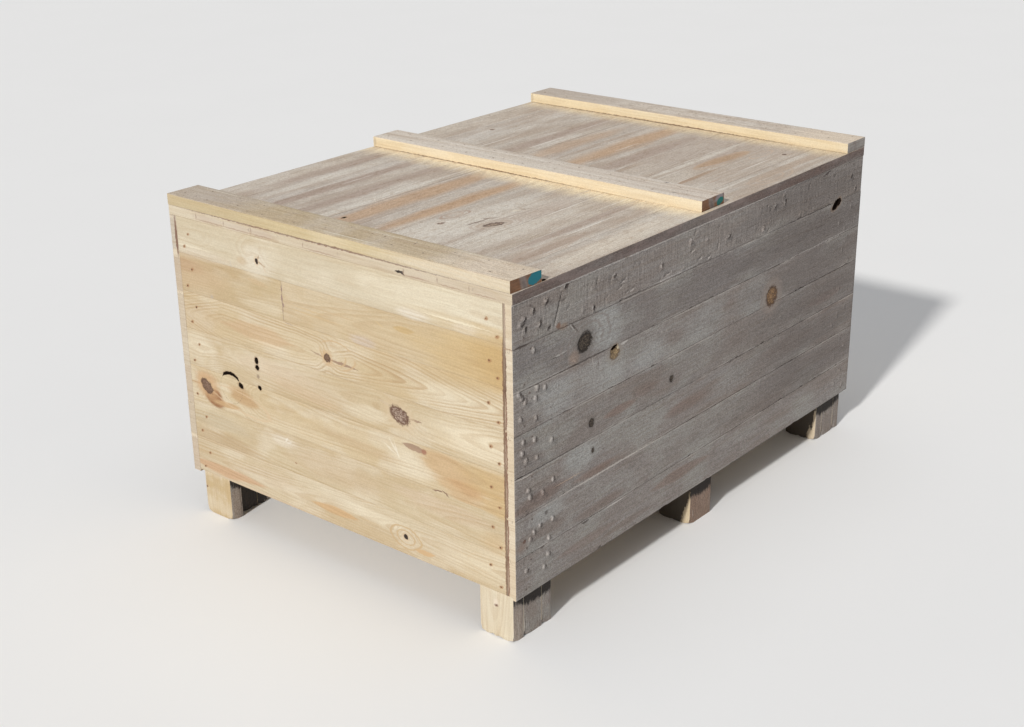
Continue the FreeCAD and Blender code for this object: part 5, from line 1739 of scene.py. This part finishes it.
# %% Model one nail, head up, at the origin
bpy.ops.object.select_all(action="DESELECT")
bpy.ops.mesh.primitive_circle_add(vertices=10, radius=0.0012, fill_type="NGON", location=(0, 0, 0))
nail = bpy.context.object
nail.name = "one_nail"
edit(nail)
bpy.ops.mesh.select_all(action="SELECT")
for drop, grow in ((0.0002, 1.55), (0.0004, 1.12), (0.0008, 0.45), (0.014, 1.0), (0.003, 0.2)):
    bpy.ops.mesh.extrude_region_move(TRANSFORM_OT_translate={"value": (0, 0, -drop)})
    bpy.ops.transform.resize(value=(grow, grow, 1))
bpy.ops.mesh.select_all(action="SELECT")
bpy.ops.mesh.normals_make_consistent(inside=False)
close()
smooth(nail)
print("One nail has", len(nail.data.polygons), "faces")


# %% Drive every nail
def drive_nails(node, body, finish, proud=0.0003):
    """A copy of the nail at every place of one CAD node, joined as one piece."""
    pieces = []
    for head, axis, out in NAILS[node]:
        copy = bpy.data.objects.new(f"{node}_one", nail.data.copy())
        bpy.context.scene.collection.objects.link(copy)
        head = head + towards(axis, out * proud)
        turn = towards(axis, out).to_track_quat("Z", "Y").to_matrix().to_4x4()
        tilt = Matrix.Rotation(chance.uniform(0, 6.28), 4, "Z") @ Matrix.Rotation(
            chance.uniform(0, 0.08), 4, "X")
        size = Matrix.Scale(chance.uniform(0.85, 1.1), 4)
        copy.data.transform(Matrix.Translation(head) @ turn @ tilt @ size)
        pieces.append(copy)
    piece = joined(node + "_heads", pieces)
    piece.data.materials.clear()
    piece.data.materials.append(finish)
    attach(piece, body)
    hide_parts(node)
    print(node, "driven:", len(pieces))


# %% Give the nails their rust
rust = Finish("nail rust")
where = rust.node("ShaderNodeTexCoord").outputs["Object"]
speck = rust.cloud(where, (700.0, 700.0, 700.0), 3.0)
parts = rust.node("ShaderNodeSeparateXYZ")
rust.feed(parts.inputs[0], where)
beside = rust.between(rust.calc("ABSOLUTE", parts.outputs[0]), 0.488, 0.492)
tone = rust.tint(rust.between(speck, 0.4, 0.6), (0.26, 0.135, 0.07), (0.07, 0.04, 0.03))
tone = rust.tint(beside, tone, (0.15, 0.12, 0.105))
rust.feed(
    rust.shader.inputs["Base Color"],
    rust.tint(rust.between(parts.outputs[2], 0.75, 0.76), tone, (0.20, 0.15, 0.115)))
rust.shader.inputs["Metallic"].default_value = 0.25
rust.feed(rust.shader.inputs["Roughness"], rust.between(speck, 0.3, 0.7, 0.5, 0.85))
for node, body in (("wall_nails", "crate"), ("lid_nails", "lid"), ("floor_nails", "crate")):
    drive_nails(node, body, rust.material)
bpy.data.objects.remove(nail)

# %% [markdown]
# ## Floor, light and camera
#
# The crate stands on a plain pale floor. One lamp high in front gives the end wall its full
# light and grazes the side, so that every bruise there throws a small shadow; a second, very
# soft one stands for the white ceiling, and the world fills the rest.

# %% Lay the studio floor
bpy.ops.object.select_all(action="DESELECT")
bpy.ops.mesh.primitive_plane_add(size=60, location=(0, 0, 0))
ground = bpy.context.object
ground.name = "studio_floor"
paint = Finish("pale floor")
where = paint.node("ShaderNodeTexCoord").outputs["Object"]
mist = paint.cloud(where, (2.0, 2.0, 2.0), 3.0)
paint.feed(paint.shader.inputs["Base Color"], paint.tint(mist, (0.84, 0.84, 0.835), (0.86, 0.86, 0.855)))
paint.shader.inputs["Roughness"].default_value = 0.9
ground.data.materials.append(paint.material)


# %% Hang the lamps
def sun_light(name, towards_lamp, strength, softness, colour):
    """A lamp far away in that direction; softness is its width in degrees."""
    lamp = bpy.data.lights.new(name, "SUN")
    lamp.energy, lamp.angle, lamp.color = strength, math.radians(softness), colour
    holder = bpy.data.objects.new(name, lamp)
    bpy.context.scene.collection.objects.link(holder)
    holder.location = Vector(towards_lamp) * 5
    holder.rotation_euler = Vector(towards_lamp).to_track_quat("Z", "Y").to_euler()


sun_light("key", (0.14, -0.8, 0.57), 2.6, 4, (1.0, 0.98, 0.95))
sun_light("top", (0.0, 0.1, 1.0), 0.6, 60, (1.0, 1.0, 1.0))
world = bpy.data.worlds.new("studio")
world.use_nodes = True
world.node_tree.nodes["Background"].inputs[0].default_value = (0.93, 0.95, 1.0, 1.0)
world.node_tree.nodes["Background"].inputs[1].default_value = 0.28
bpy.context.scene.world = world
bpy.context.scene.view_settings.view_transform = "Standard"

# %% Place the camera
camera = bpy.data.objects.new("camera", bpy.data.cameras.new("camera"))
bpy.context.scene.collection.objects.link(camera)
camera.location = (2.1946, -2.7317, 1.6962)
camera.rotation_euler = [math.radians(a) for a in (67.875, 0.766, 39.464)]
camera.data.lens, camera.data.sensor_width = 53.86, 36.0
bpy.context.scene.camera = camera
print("Camera at", tuple(camera.location))
